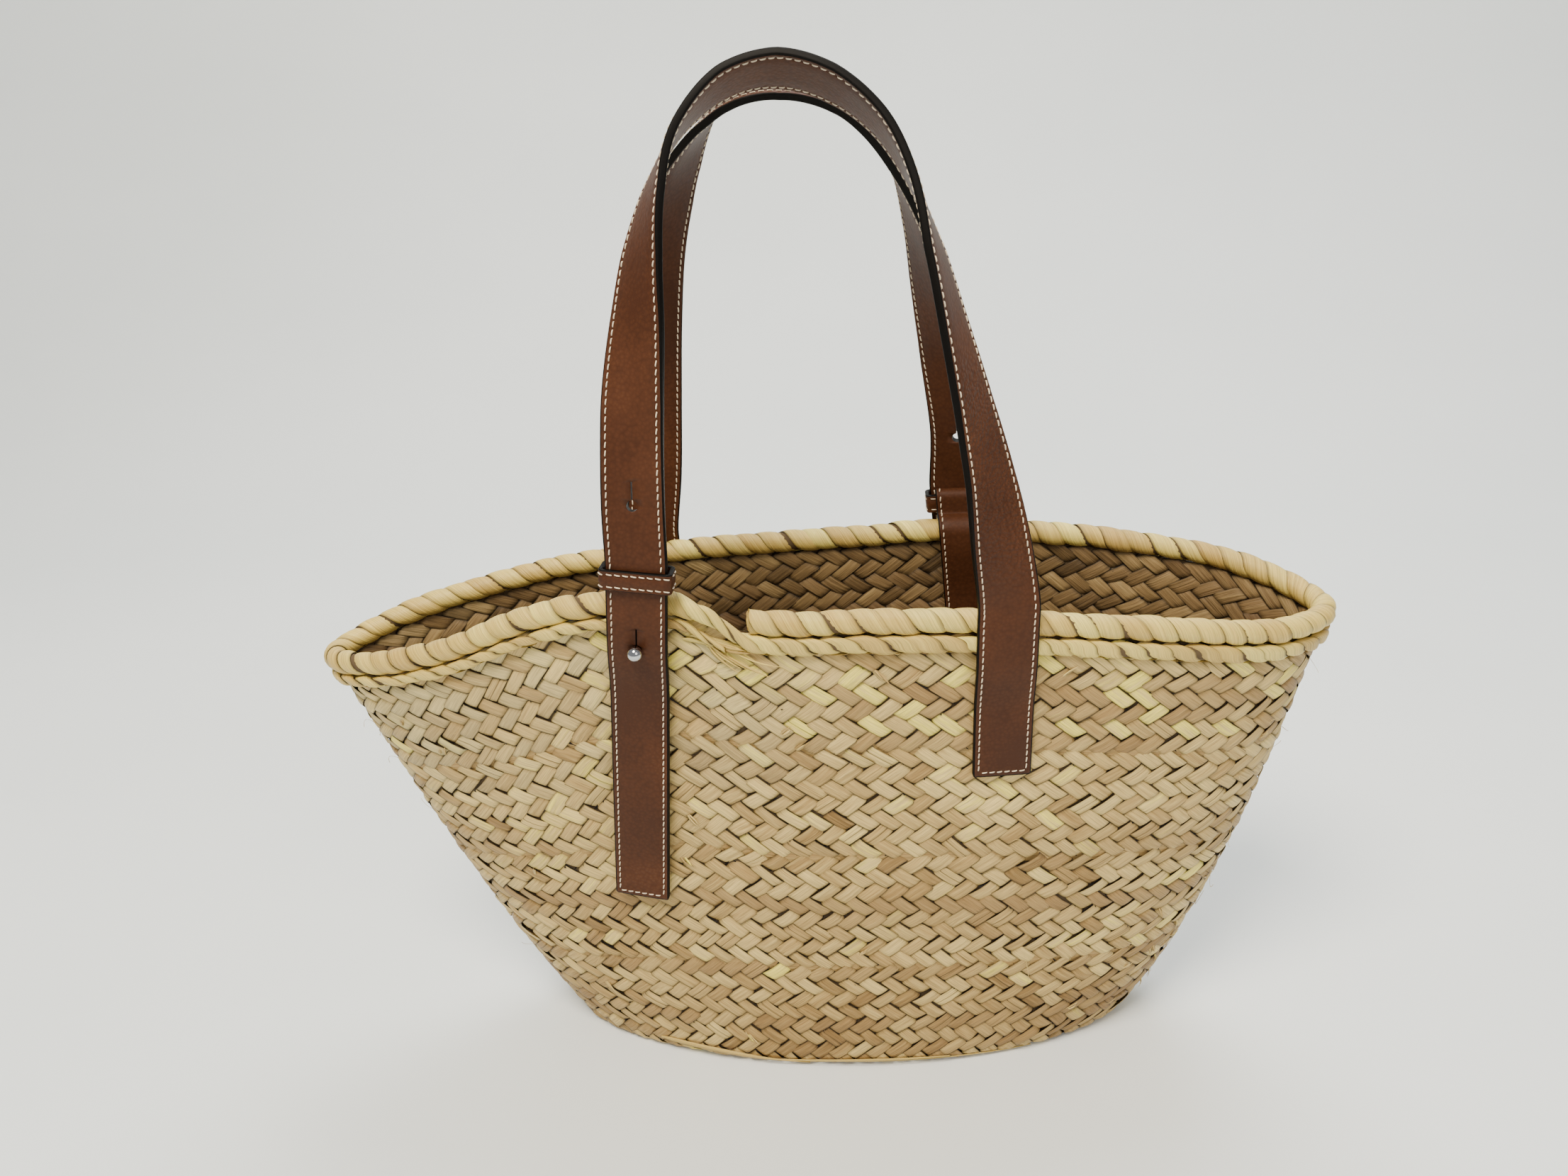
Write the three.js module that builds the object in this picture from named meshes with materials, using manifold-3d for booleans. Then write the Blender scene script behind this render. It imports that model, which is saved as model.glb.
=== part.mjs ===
// A straw basket bag with two flat leather handles. Millimetres, +Z up.
// The origin is the centre of the oval base, on its underside. X runs along the bag, -Y is its front.
import * as THREE from 'three';
import { mergeVertices } from 'three/addons/utils/BufferGeometryUtils.js';
import Module from 'manifold-3d';

// The basket's wall and base
const WALL = 3;
const BASE_LENGTH = 272;
const BASE_DEPTH = 104;
const BASE_CORNER = 7;
const MOUTH_TO_LEFT = 232.5;
const MOUTH_TO_RIGHT = 211.5;
const MOUTH_DEPTH = 100;
const WALL_HEIGHT = 238;
const FLARE_POWER_LEFT = 0.79;
const FLARE_POWER_RIGHT = 0.7;
const FLARE_POWER_ACROSS = 0.68;

// The wrapped binding of the rim
const ROLL = 10;
const BAND_HEIGHT = 7;
const BAND_THICKNESS = 3.5;

// The leather straps, with their holes and ends
const STRAP_WIDTH = 25;
const STRAP_THICKNESS = 3.2;
const STRAP_EDGE = 0.8;
const HANDLE_SPREAD = 144;
const HANDLE_TO_LEFT_FRONT = 11.9;
const HANDLE_TO_LEFT_BACK = 10.2;
const HANDLE_TOP_FRONT = 449;
const HANDLE_TOP_BACK = 445;
const ARCH_FOOT_FRONT = 21;
const ARCH_FOOT_BACK = 17;
const HANDLES_APART = 2;
const ARCH_TURN = 121;
const LOOSE_END_BELOW_RIM = 152.5;
const SEWN_END_BELOW_RIM = 77;
const LOOSE_END_LEAN = 4.8;
const STUD_BELOW_RIM = 21.5;
const HOLE_ABOVE_STUD = 61;
const HOLE_DIAMETER = 4.5;
const SLIT_LENGTH = 8;
const SLIT_WIDTH = 0.6;

// The saddle tab, the keeper loop and the ball stud
const TAB_WIDTH = 20;
const TAB_THICKNESS = 2.2;
const TAB_DOWN = 77;
const TAB_ABOVE_LOOP = 2.2;
const LOOP_HEIGHT = 8.8;
const LOOP_THICKNESS = 2;
const LOOP_ABOVE_BEND_FRONT = 2.5;
const LOOP_ABOVE_BEND_BACK = 0.5;
const STUD_BALL = 6.5;
const STUD_POST = 3.2;

// Clearance between neighbours, and the length over which leather falls from the binding to the wall
const GAP = 0.3;
const DRAPE_LENGTH = 30;

// How fine the faceted surfaces are
const ROUND_STEPS = 72;
const WALL_STEPS = 8;
const CORNER_STEPS = 3;
const BINDING_SIDES = 8;
const DROP_REFINEMENT = 4;
const STATION_STEP = 7;
const RIBBON_STEPS = 96;
const TAB_SLICES = 4;
const TAB_STEPS = 9;
const BEND_STEPS = 7;
const TURNED_SIDES = 16;
const BALL_STEPS = 8;

// Height of the wall's top edge, as shares of WALL_HEIGHT. across runs from the left tip, -1, to the right
// tip, 1. The front falls by a step near the middle, where the binding drops past its own start.
const RIM_ROWS = [
  { across: -1.0, front: 0.855, back: 0.855 },
  { across: -0.85, front: 0.887, back: 0.9 },
  { across: -0.7, front: 0.933, back: 0.929 },
  { across: -0.55, front: 0.996, back: 0.952 },
  { across: -0.4, front: 1.034, back: 0.962 },
  { across: -0.25, front: 1.037, back: 0.968 },
  { across: -0.1, front: 1.0, back: 0.973 },
  { across: 0.1, front: 0.996, back: 0.981 },
  { across: 0.3, front: 0.99, back: 0.992 },
  { across: 0.5, front: 0.968, back: 0.981 },
  { across: 0.7, front: 0.939, back: 0.96 },
  { across: 0.85, front: 0.914, back: 0.941 },
  { across: 1.0, front: 0.903, back: 0.903 },
];

// How much fuller than an ellipse the mouth is towards each tip
const MOUTH_FULLNESS = {
  front: { left: 0.0, right: 0.1 },
  back: { left: -0.2, right: 0.4 },
};

// The binding's path over two turns from its cut end. out: 0 on the wall's edge, 1 beside its outer face.
// down: 0 on top of the edge, 1 just under the roll, 2 under the first band. slim: 0 round roll, 1 flat
// band. tall: the band's height as a share of BAND_HEIGHT.
const BINDING_START_ANGLE = 263.4;
const BINDING_ROWS = [
  { turn: 0, out: 0, down: 0, slim: 0, tall: 1 },
  { turn: 0.978, out: 0, down: 0, slim: 0, tall: 1 },
  { turn: 0.987, out: 1, down: 0, slim: 0.75, tall: 1 },
  { turn: 1.0, out: 1, down: 1, slim: 1, tall: 1 },
  { turn: 1.65, out: 1, down: 1, slim: 1, tall: 1 },
  { turn: 1.8, out: 1, down: 1, slim: 1, tall: 0.65 },
  { turn: 1.978, out: 1, down: 1, slim: 1, tall: 0.65 },
  { turn: 1.992, out: 1, down: 2, slim: 1, tall: 0.4 },
];

// The arch of a handle above the rim. across is a share of HANDLE_SPREAD from its own middle, down 0 at
// the arch's top and 1 at its foot, lean 0 at the top and 1 at the legs, turn a share of ARCH_TURN, the
// ribbon's twist.
const ARCH_ROWS = {
  front: [
    { across: -0.462, down: 0.8, lean: 0.96, turn: 0.02 },
    { across: -0.444, down: 0.6, lean: 0.82, turn: 0.1 },
    { across: -0.42, down: 0.45, lean: 0.67, turn: 0.26 },
    { across: -0.398, down: 0.32, lean: 0.5, turn: 0.42 },
    { across: -0.359, down: 0.2, lean: 0.34, turn: 0.6 },
    { across: -0.295, down: 0.098, lean: 0.19, turn: 0.78 },
    { across: -0.172, down: 0.02, lean: 0.05, turn: 0.94 },
    { across: -0.035, down: 0.0, lean: 0.0, turn: 1 },
    { across: 0.1, down: 0.03, lean: 0.05, turn: 0.98 },
    { across: 0.218, down: 0.1, lean: 0.15, turn: 0.9 },
    { across: 0.298, down: 0.2, lean: 0.3, turn: 0.79 },
    { across: 0.354, down: 0.33, lean: 0.5, turn: 0.64 },
    { across: 0.404, down: 0.48, lean: 0.7, turn: 0.55 },
    { across: 0.449, down: 0.62, lean: 0.84, turn: 0.46 },
    { across: 0.494, down: 0.77, lean: 0.94, turn: 0.34 },
    { across: 0.524, down: 0.9, lean: 0.99, turn: 0.18 },
  ],
  back: [
    { across: -0.462, down: 0.815, lean: 0.96, turn: 0.09 },
    { across: -0.408, down: 0.6, lean: 0.82, turn: 0.34 },
    { across: -0.367, down: 0.46, lean: 0.67, turn: 0.47 },
    { across: -0.325, down: 0.325, lean: 0.5, turn: 0.6 },
    { across: -0.264, down: 0.195, lean: 0.34, turn: 0.75 },
    { across: -0.18, down: 0.085, lean: 0.19, turn: 0.89 },
    { across: -0.095, down: 0.03, lean: 0.08, turn: 0.97 },
    { across: 0.048, down: 0.0, lean: 0.0, turn: 1 },
    { across: 0.18, down: 0.022, lean: 0.05, turn: 0.91 },
    { across: 0.262, down: 0.078, lean: 0.17, turn: 0.73 },
    { across: 0.341, down: 0.168, lean: 0.3, turn: 0.53 },
    { across: 0.392, down: 0.253, lean: 0.42, turn: 0.41 },
    { across: 0.437, down: 0.358, lean: 0.58, turn: 0.32 },
    { across: 0.478, down: 0.53, lean: 0.77, turn: 0.22 },
    { across: 0.507, down: 0.716, lean: 0.92, turn: 0.12 },
    { across: 0.531, down: 0.91, lean: 0.99, turn: 0.025 },
  ],
};
const LEG_ACROSS = { loose: -0.4705, sewn: 0.55 };

const MOUTH_MIDDLE = (MOUTH_TO_RIGHT - MOUTH_TO_LEFT) / 2;
const MOUTH_HALF = (MOUTH_TO_RIGHT + MOUTH_TO_LEFT) / 2;
const ROLL_CENTRE = GAP + ROLL / 2;
const LOOP_INWARDS = STRAP_THICKNESS / 2 + TAB_THICKNESS + 2 * GAP;
const FRONT = {
  name: 'front',
  sign: -1,
  top: HANDLE_TOP_FRONT,
  foot: WALL_HEIGHT + ARCH_FOOT_FRONT,
  middle: -HANDLE_TO_LEFT_FRONT,
  loopLift: LOOP_ABOVE_BEND_FRONT,
};
const BACK = {
  name: 'back',
  sign: 1,
  top: HANDLE_TOP_BACK,
  foot: WALL_HEIGHT + ARCH_FOOT_BACK,
  middle: -HANDLE_TO_LEFT_BACK,
  loopLift: LOOP_ABOVE_BEND_BACK,
};

const STRAW = new THREE.MeshStandardMaterial({ color: 0xc4ab80, roughness: 0.8, metalness: 0 });
const STRAW_PALE = new THREE.MeshStandardMaterial({ color: 0xd0be92, roughness: 0.7, metalness: 0 });
const LEATHER = new THREE.MeshStandardMaterial({ color: 0x6e4232, roughness: 0.5, metalness: 0 });
const CHROME = new THREE.MeshStandardMaterial({ color: 0xd8d8dc, roughness: 0.1, metalness: 1 });

const wasm = await Module();
wasm.setup();

const { lerp, degToRad, clamp, smoothstep } = THREE.MathUtils;

// Smooth value of one column of a table at a place between its rows
function column(rows, key, name, at) {
  const last = rows.length - 1;
  const place = clamp(at, rows[0][key], rows[last][key]);
  let low = 0;
  while (low < last - 1 && rows[low + 1][key] < place) low += 1;
  const span = rows[low + 1][key] - rows[low][key];
  const share = (place - rows[low][key]) / span;
  const slope = (row) => {
    const before = rows[Math.max(row - 1, 0)];
    const after = rows[Math.min(row + 1, last)];
    return ((after[name] - before[name]) / (after[key] - before[key])) * span;
  };
  const [a, b] = [rows[low][name], rows[low + 1][name]];
  const [slopeA, slopeB] = [slope(low), slope(low + 1)];
  const square = share * share;
  const cube = square * share;
  return (
    (2 * cube - 3 * square + 1) * a +
    (cube - 2 * square + share) * slopeA +
    (3 * square - 2 * cube) * b +
    (cube - square) * slopeB
  );
}

// The same with level stretches kept level between equal rows
function easedColumn(rows, key, name, at) {
  const last = rows.length - 1;
  let low = 0;
  while (low < last - 1 && rows[low + 1][key] < at) low += 1;
  const share = clamp((at - rows[low][key]) / (rows[low + 1][key] - rows[low][key]), 0, 1);
  const eased = share * share * (3 - 2 * share);
  return lerp(rows[low][name], rows[low + 1][name], eased);
}

// The wall's middle surface. angle goes round from the right tip, share up from the base to the edge.
const sideName = (angle) => (Math.sin(angle) < 0 ? 'front' : 'back');
const edgeHeight = (angle) => WALL_HEIGHT * column(RIM_ROWS, 'across', sideName(angle), Math.cos(angle));

function wallPoint(angle, share) {
  const across = Math.cos(angle);
  const deep = Math.sin(angle);
  const fullness = MOUTH_FULLNESS[sideName(angle)][across < 0 ? 'left' : 'right'];
  const mouthX = MOUTH_MIDDLE + MOUTH_HALF * across;
  const mouthY = (MOUTH_DEPTH / 2) * deep * (1 + fullness * across * across);
  const baseX = ((BASE_LENGTH - WALL) / 2) * across;
  const baseY = ((BASE_DEPTH - WALL) / 2) * deep;
  const flare = lerp(FLARE_POWER_LEFT, FLARE_POWER_RIGHT, (across + 1) / 2);
  const x = lerp(baseX, mouthX, Math.pow(share, flare));
  const y = lerp(baseY, mouthY, Math.pow(share, FLARE_POWER_ACROSS));
  return new THREE.Vector3(x, y, share * edgeHeight(angle));
}

// Unit directions on the wall: round the bag, up the wall, and out of it
function wallFrame(angle, share) {
  const step = 0.01;
  const round = wallPoint(angle + step, share).sub(wallPoint(angle - step, share)).normalize();
  const up = wallPoint(angle, share + step).sub(wallPoint(angle, share - step)).normalize();
  const out = new THREE.Vector3().crossVectors(round, up).normalize();
  return { round, up, out };
}

// The wall's angle on one side of the bag at a given x and height
function angleAt(side, x, height) {
  let low = 0;
  let high = Math.PI;
  for (let i = 0; i < 40; i += 1) {
    const middle = (low + high) / 2;
    const angle = side.sign * middle;
    const point = wallPoint(angle, Math.max(height, 1) / edgeHeight(angle));
    if (point.x > x) low = middle;
    else high = middle;
  }
  return (side.sign * (low + high)) / 2;
}

// A closed surface from rings of points. Each end is shut by a fan round its middle, or by the flat
// triangles of a contour where the ring is bent too far for a fan.
function closedLoft(rings, contour = null) {
  const count = rings[0].length;
  const points = rings.flat();
  const faces = [];
  for (let ring = 0; ring < rings.length - 1; ring += 1) {
    for (let i = 0; i < count; i += 1) {
      const next = (i + 1) % count;
      const [a, b] = [ring * count + i, ring * count + next];
      const [c, d] = [a + count, b + count];
      faces.push(a, b, d, a, d, c);
    }
  }
  const lastStart = (rings.length - 1) * count;
  if (contour) {
    THREE.ShapeUtils.triangulateShape(contour, []).forEach(([a, b, c]) => {
      faces.push(a, b, c);
      faces.push(lastStart + c, lastStart + b, lastStart + a);
    });
  } else {
    [0, lastStart].forEach((start) => {
      const middle = new THREE.Vector3();
      points.slice(start, start + count).forEach((point) => middle.addScaledVector(point, 1 / count));
      points.push(middle);
      for (let i = 0; i < count; i += 1) {
        const [a, b] = [start + i, start + ((i + 1) % count)];
        if (start === 0) faces.push(b, a, points.length - 1);
        else faces.push(a, b, points.length - 1);
      }
    });
  }
  const geometry = new THREE.BufferGeometry();
  geometry.setAttribute('position', new THREE.Float32BufferAttribute(points.flatMap((p) => p.toArray()), 3));
  geometry.setIndex(faces);
  return geometry;
}

function toSolid(geometry) {
  const bare = geometry.clone();
  bare.deleteAttribute('normal');
  bare.deleteAttribute('uv');
  const merged = mergeVertices(bare, 1e-4);
  return new wasm.Manifold(
    new wasm.Mesh({
      numProp: 3,
      vertProperties: Float32Array.from(merged.attributes.position.array),
      triVerts: Uint32Array.from(merged.index.array),
    }),
  );
}

function toGeometry(solid) {
  const mesh = solid.getMesh();
  const geometry = new THREE.BufferGeometry();
  geometry.setAttribute('position', new THREE.Float32BufferAttribute(mesh.vertProperties, 3));
  geometry.setIndex(Array.from(mesh.triVerts));
  return geometry;
}

function cut(geometry, ...tools) {
  const left = tools.reduce((solid, tool) => solid.subtract(toSolid(tool)), toSolid(geometry));
  return toGeometry(left);
}

// The plaited shell: up the outside, over the edge and down the inside to the floor
function basketBody() {
  const angles = Array.from({ length: ROUND_STEPS }, (_, i) => (2 * Math.PI * i) / ROUND_STEPS);
  const ring = (share, height, offset, inset) =>
    angles.map((angle) => {
      const at = share ?? height / edgeHeight(angle);
      const { out } = wallFrame(angle, Math.max(at, BASE_CORNER / WALL_HEIGHT));
      const flat = new THREE.Vector3(out.x, out.y, 0).normalize();
      const rise = share === null ? 0 : out.z * offset;
      const point = wallPoint(angle, Math.max(at, 0.001));
      point.addScaledVector(flat, Math.hypot(out.x, out.y) * offset - inset);
      point.z = (share === null ? height : point.z) + rise;
      return point;
    });
  const corner = (radius, lift, offset) =>
    Array.from({ length: CORNER_STEPS + 1 }, (_, i) => {
      const bend = (Math.PI / 2) * (i / CORNER_STEPS);
      const height = lift + radius * (1 - Math.cos(bend));
      return ring(null, height, offset, radius * (1 - Math.sin(bend)));
    });
  const shares = Array.from({ length: WALL_STEPS }, (_, i) =>
    lerp((2 * BASE_CORNER) / WALL_HEIGHT, 1, i / (WALL_STEPS - 1)),
  );
  const outside = shares.map((share) => ring(share, 0, WALL / 2, 0));
  const inside = shares.map((share) => ring(share, 0, -WALL / 2, 0)).reverse();
  return closedLoft([
    ...corner(BASE_CORNER, 0, WALL / 2),
    ...outside,
    ...inside,
    ...corner(BASE_CORNER - WALL, WALL, -WALL / 2).reverse(),
  ]);
}

// The binding: a round roll on the wall's edge that becomes a flat band beside the wall
function rimBinding() {
  const last = BINDING_ROWS[BINDING_ROWS.length - 1].turn;
  const turns = [];
  const fineStep = 1 / (ROUND_STEPS * DROP_REFINEMENT);
  for (let turn = 0; turn < last - fineStep; ) {
    turns.push(turn);
    const dropping = turn % 1 > BINDING_ROWS[1].turn - 1 / ROUND_STEPS;
    turn += dropping ? fineStep : 1 / ROUND_STEPS;
  }
  turns.push(last);
  const rings = turns.map((turn) => {
    const angle = degToRad(BINDING_START_ANGLE) + 2 * Math.PI * turn;
    const { up, out } = wallFrame(angle, 1);
    const value = (name) => easedColumn(BINDING_ROWS, 'turn', name, turn);
    const slim = value('slim');
    const thick = lerp(ROLL, BAND_THICKNESS, slim);
    const bandTall = BAND_HEIGHT * value('tall');
    const tall = lerp(ROLL, bandTall, slim);
    const lanes = [ROLL_CENTRE, -bandTall / 2, -BAND_HEIGHT - GAP - bandTall / 2];
    const down = value('down');
    const lane = Math.min(Math.floor(down), 1);
    const middle = wallPoint(angle, 1)
      .addScaledVector(up, lerp(lanes[lane], lanes[lane + 1], down - lane))
      .addScaledVector(out, value('out') * (WALL / 2 + GAP + thick / 2));
    return Array.from({ length: BINDING_SIDES }, (_, i) => {
      const turned = ((-2 * Math.PI) / BINDING_SIDES) * (i + 0.5);
      return middle
        .clone()
        .addScaledVector(out, (thick / 2) * Math.cos(turned))
        .addScaledVector(up, (tall / 2) * Math.sin(turned));
    });
  });
  return closedLoft(rings);
}

// How far a flat piece lies from the wall's middle: over the binding, then, below it, down to the wall
function drape(below, under) {
  const beside = WALL / 2 + GAP + under;
  const over = ROLL / 2 + GAP + under;
  return lerp(over, beside, smoothstep(below, 0, DRAPE_LENGTH));
}

// Where a leg of a handle crosses the rim, and the line that it follows down the wall
function leg(side, end) {
  const x = side.middle - side.sign * LEG_ACROSS[end] * HANDLE_SPREAD;
  const angle = angleAt(side, x, WALL_HEIGHT);
  const edge = edgeHeight(angle);
  const rim = edge + GAP + ROLL;
  const loopFoot = rim + GAP + TAB_THICKNESS + side.loopLift;
  const lean = end === 'loose' ? -side.sign * Math.tan(degToRad(LOOSE_END_LEAN)) : 0;
  const at = (height, offset, aside = 0) => {
    const placeX = x + lean * (height - rim) + aside;
    const placeAngle = angleAt(side, placeX, height);
    const share = height / edgeHeight(placeAngle);
    const { out } = wallFrame(placeAngle, Math.min(share, 1));
    return { point: wallPoint(placeAngle, share).addScaledVector(out, offset), out };
  };
  return { edge, rim, loopFoot, at };
}

// The ribbon's stations from the loose end over the arch to the sewn end
function handleStations(side) {
  const flatDown = ({ edge, rim, at }, below, top, under) => {
    const steps = Math.round((top - rim + below) / STATION_STEP);
    return Array.from({ length: steps + 1 }, (_, i) => {
      const height = lerp(rim - below, top, i / steps);
      const offset = drape(edge - BAND_HEIGHT - GAP - height, under) + STRAP_THICKNESS / 2;
      const { point, out } = at(height, offset);
      return { point, out, turn: 0 };
    });
  };
  const looseLeg = leg(side, 'loose');
  const sewnLeg = leg(side, 'sewn');
  const tabTop = looseLeg.loopFoot + LOOP_HEIGHT + TAB_ABOVE_LOOP;
  const loose = flatDown(looseLeg, LOOSE_END_BELOW_RIM, tabTop + GAP, TAB_THICKNESS + GAP);
  const sewn = flatDown(sewnLeg, SEWN_END_BELOW_RIM, sewnLeg.rim + ROLL / 2, 0).reverse();
  const tilt = degToRad(ARCH_TURN - 90);
  const reach = (STRAP_WIDTH / 2) * Math.cos(tilt) + (STRAP_THICKNESS / 2) * Math.sin(tilt);
  const topY = reach + HANDLES_APART / 2;
  const legY = Math.abs(loose[loose.length - 1].point.y + sewn[0].point.y) / 2;
  const arch = ARCH_ROWS[side.name].map(({ across, down, lean, turn }) => ({
    point: new THREE.Vector3(
      side.middle - side.sign * across * HANDLE_SPREAD,
      side.sign * lerp(topY, legY, lean),
      lerp(side.top, side.foot, down),
    ),
    out: new THREE.Vector3(0, side.sign, 0),
    turn,
  }));
  return [...loose, ...arch, ...sewn];
}

// A frame at each of many even steps along the ribbon
function ribbonFrames(stations, steps) {
  const curve = new THREE.CatmullRomCurve3(stations.map((s) => s.point), false, 'centripetal');
  const last = stations.length - 1;
  return Array.from({ length: steps + 1 }, (_, i) => {
    const place = curve.getUtoTmapping(i / steps) * last;
    const low = Math.min(Math.floor(place), last - 1);
    const share = place - low;
    const along = curve.getTangent(place / last);
    const base = stations[low].out.clone().lerp(stations[low + 1].out, share);
    base.addScaledVector(along, -base.dot(along)).normalize();
    const turn = -degToRad(ARCH_TURN) * lerp(stations[low].turn, stations[low + 1].turn, share);
    const out = base.applyAxisAngle(along, turn);
    const across = new THREE.Vector3().crossVectors(along, out);
    return { point: curve.getPoint(place / last), along, out, across };
  });
}

function ribbon(frames, width, thickness, edge) {
  const [w, t] = [width / 2, thickness / 2];
  const section = [
    [w, edge - t],
    [w - edge, -t],
    [edge - w, -t],
    [-w, edge - t],
    [-w, t - edge],
    [edge - w, t],
    [w - edge, t],
    [w, t - edge],
  ];
  return closedLoft(
    frames.map(({ point, across, out }) =>
      section.map(([a, o]) => point.clone().addScaledVector(across, a).addScaledVector(out, o)),
    ),
  );
}

// The frame of the ribbon nearest to a height on the loose leg
function frameAtHeight(frames, height) {
  const index = frames.findIndex(({ point }) => point.z > height);
  const [below, above] = [frames[index - 1], frames[index]];
  const share = (height - below.point.z) / (above.point.z - below.point.z);
  const out = below.out.clone().lerp(above.out, share).normalize();
  const along = below.along.clone().lerp(above.along, share).normalize();
  const across = new THREE.Vector3().crossVectors(along, out).normalize();
  along.crossVectors(out, across);
  return { point: below.point.clone().lerp(above.point, share), along, out, across };
}

// Puts a geometry made round the origin into a frame: X across, Y along, Z out
function placeIn(geometry, { point, along, out, across }) {
  const basis = new THREE.Matrix4().makeBasis(across, along, out).setPosition(point);
  return geometry.applyMatrix4(basis);
}

function boltHole(frame, diameter, length) {
  const hole = new THREE.CylinderGeometry(diameter / 2, diameter / 2, length, TURNED_SIDES);
  return placeIn(hole.rotateX(Math.PI / 2), frame);
}

function slit(frame) {
  const start = HOLE_DIAMETER / 2 - SLIT_WIDTH;
  const box = new THREE.BoxGeometry(SLIT_WIDTH, SLIT_LENGTH, 3 * STRAP_THICKNESS);
  return placeIn(box.translate(0, start + SLIT_LENGTH / 2, 0), frame);
}

// A saddle tab: down inside the mouth, over the roll, folded round the loop's back, down under the strap
function saddleTab(side, looseLeg, studFrame, loopFrame) {
  const { edge, rim, loopFoot, at } = looseLeg;
  const rollAt = edge + ROLL_CENTRE;
  const inner = ROLL / 2 + GAP;
  const outer = inner + TAB_THICKNESS;
  const doubled = outer - 2 * TAB_THICKNESS - LOOP_THICKNESS - 2 * GAP;
  const top = loopFoot + LOOP_HEIGHT + TAB_ABOVE_LOOP;
  const foot = rim - TAB_DOWN;
  const heights = Array.from({ length: TAB_STEPS + 1 }, (_, i) => lerp(foot, edge - GAP, i / TAB_STEPS));
  const outsideFace = (under) => heights.map((h) => [drape(edge - BAND_HEIGHT - GAP - h, under), h]);
  const insideFace = (under) => heights.map((h) => [-drape(edge - GAP - h, under), h]);
  const arc = (centre, height, radius, from, to) =>
    Array.from({ length: BEND_STEPS + 1 }, (_, i) => {
      const bend = lerp(from, to, i / BEND_STEPS);
      return [centre + radius * Math.cos(bend), height + radius * Math.sin(bend)];
    });
  const fold = (outer - doubled) / 2;
  const outline = [
    ...outsideFace(TAB_THICKNESS),
    ...arc(doubled + fold, top - fold, fold, 0, Math.PI),
    ...arc(0, rollAt, outer, Math.acos(doubled / outer), Math.PI),
    ...insideFace(TAB_THICKNESS).reverse(),
    ...insideFace(0),
    ...arc(0, rollAt, inner, Math.PI, 0),
    ...outsideFace(0).reverse(),
  ];
  outline.reverse();
  const slices = Array.from({ length: TAB_SLICES + 1 }, (_, i) => {
    const aside = -side.sign * TAB_WIDTH * (i / TAB_SLICES - 0.5);
    return outline.map(([n, h]) => at(h, n, aside).point);
  });
  const tab = closedLoft(slices, outline.map(([n, h]) => new THREE.Vector2(n, h)));
  const boltLength = 2 * (STRAP_THICKNESS + TAB_THICKNESS) + 4 * GAP;
  const slot = new THREE.BoxGeometry(STRAP_WIDTH, LOOP_HEIGHT + 2 * GAP, LOOP_THICKNESS + 2 * GAP);
  slot.translate(0, 0, -LOOP_INWARDS - LOOP_THICKNESS / 2);
  return cut(tab, boltHole(studFrame, STUD_POST + 2 * GAP, boltLength), placeIn(slot, loopFrame));
}

// A leather loop round the strap and the tab's outer layer, held in the tab's fold
function keeperLoop(frame) {
  const clearWidth = STRAP_WIDTH + 2 * GAP;
  const outwards = STRAP_THICKNESS / 2 + GAP;
  const rectangle = (path, grow, round) => {
    const [w, low, high] = [clearWidth / 2 + grow, -outwards - grow, LOOP_INWARDS + grow];
    path.moveTo(w, low + round);
    path.lineTo(w, high - round);
    path.quadraticCurveTo(w, high, w - round, high);
    path.lineTo(round - w, high);
    path.quadraticCurveTo(-w, high, -w, high - round);
    path.lineTo(-w, low + round);
    path.quadraticCurveTo(-w, low, round - w, low);
    path.lineTo(w - round, low);
    path.quadraticCurveTo(w, low, w, low + round);
    return path;
  };
  const outline = rectangle(new THREE.Shape(), LOOP_THICKNESS, LOOP_THICKNESS);
  outline.holes.push(rectangle(new THREE.Path(), 0, GAP));
  const settings = { depth: LOOP_HEIGHT, bevelEnabled: false, curveSegments: CORNER_STEPS };
  const band = new THREE.ExtrudeGeometry(outline, settings);
  return placeIn(band.translate(0, 0, -LOOP_HEIGHT / 2).rotateX(-Math.PI / 2), frame);
}

// A ball stud: a post through the tab and the strap with a ball outside
function ballStud(frame) {
  const root = -(STRAP_THICKNESS / 2 + GAP + TAB_THICKNESS - GAP);
  const neck = STRAP_THICKNESS / 2 + GAP;
  const radius = STUD_BALL / 2;
  const middle = neck + Math.sqrt(radius * radius - (STUD_POST * STUD_POST) / 4);
  const start = Math.asin(STUD_POST / 2 / radius);
  const ball = Array.from({ length: BALL_STEPS + 1 }, (_, i) => {
    const bend = lerp(start, Math.PI, i / BALL_STEPS);
    return new THREE.Vector2(radius * Math.sin(bend), middle - radius * Math.cos(bend));
  });
  ball[BALL_STEPS].x = 0;
  const profile = [new THREE.Vector2(0, root), new THREE.Vector2(STUD_POST / 2, root), ...ball];
  return placeIn(new THREE.LatheGeometry(profile, TURNED_SIDES).rotateX(Math.PI / 2), frame);
}

const bag = new THREE.Group();

function add(name, geometry, material) {
  const mesh = new THREE.Mesh(geometry, material);
  mesh.name = name;
  bag.add(mesh);
}

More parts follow.
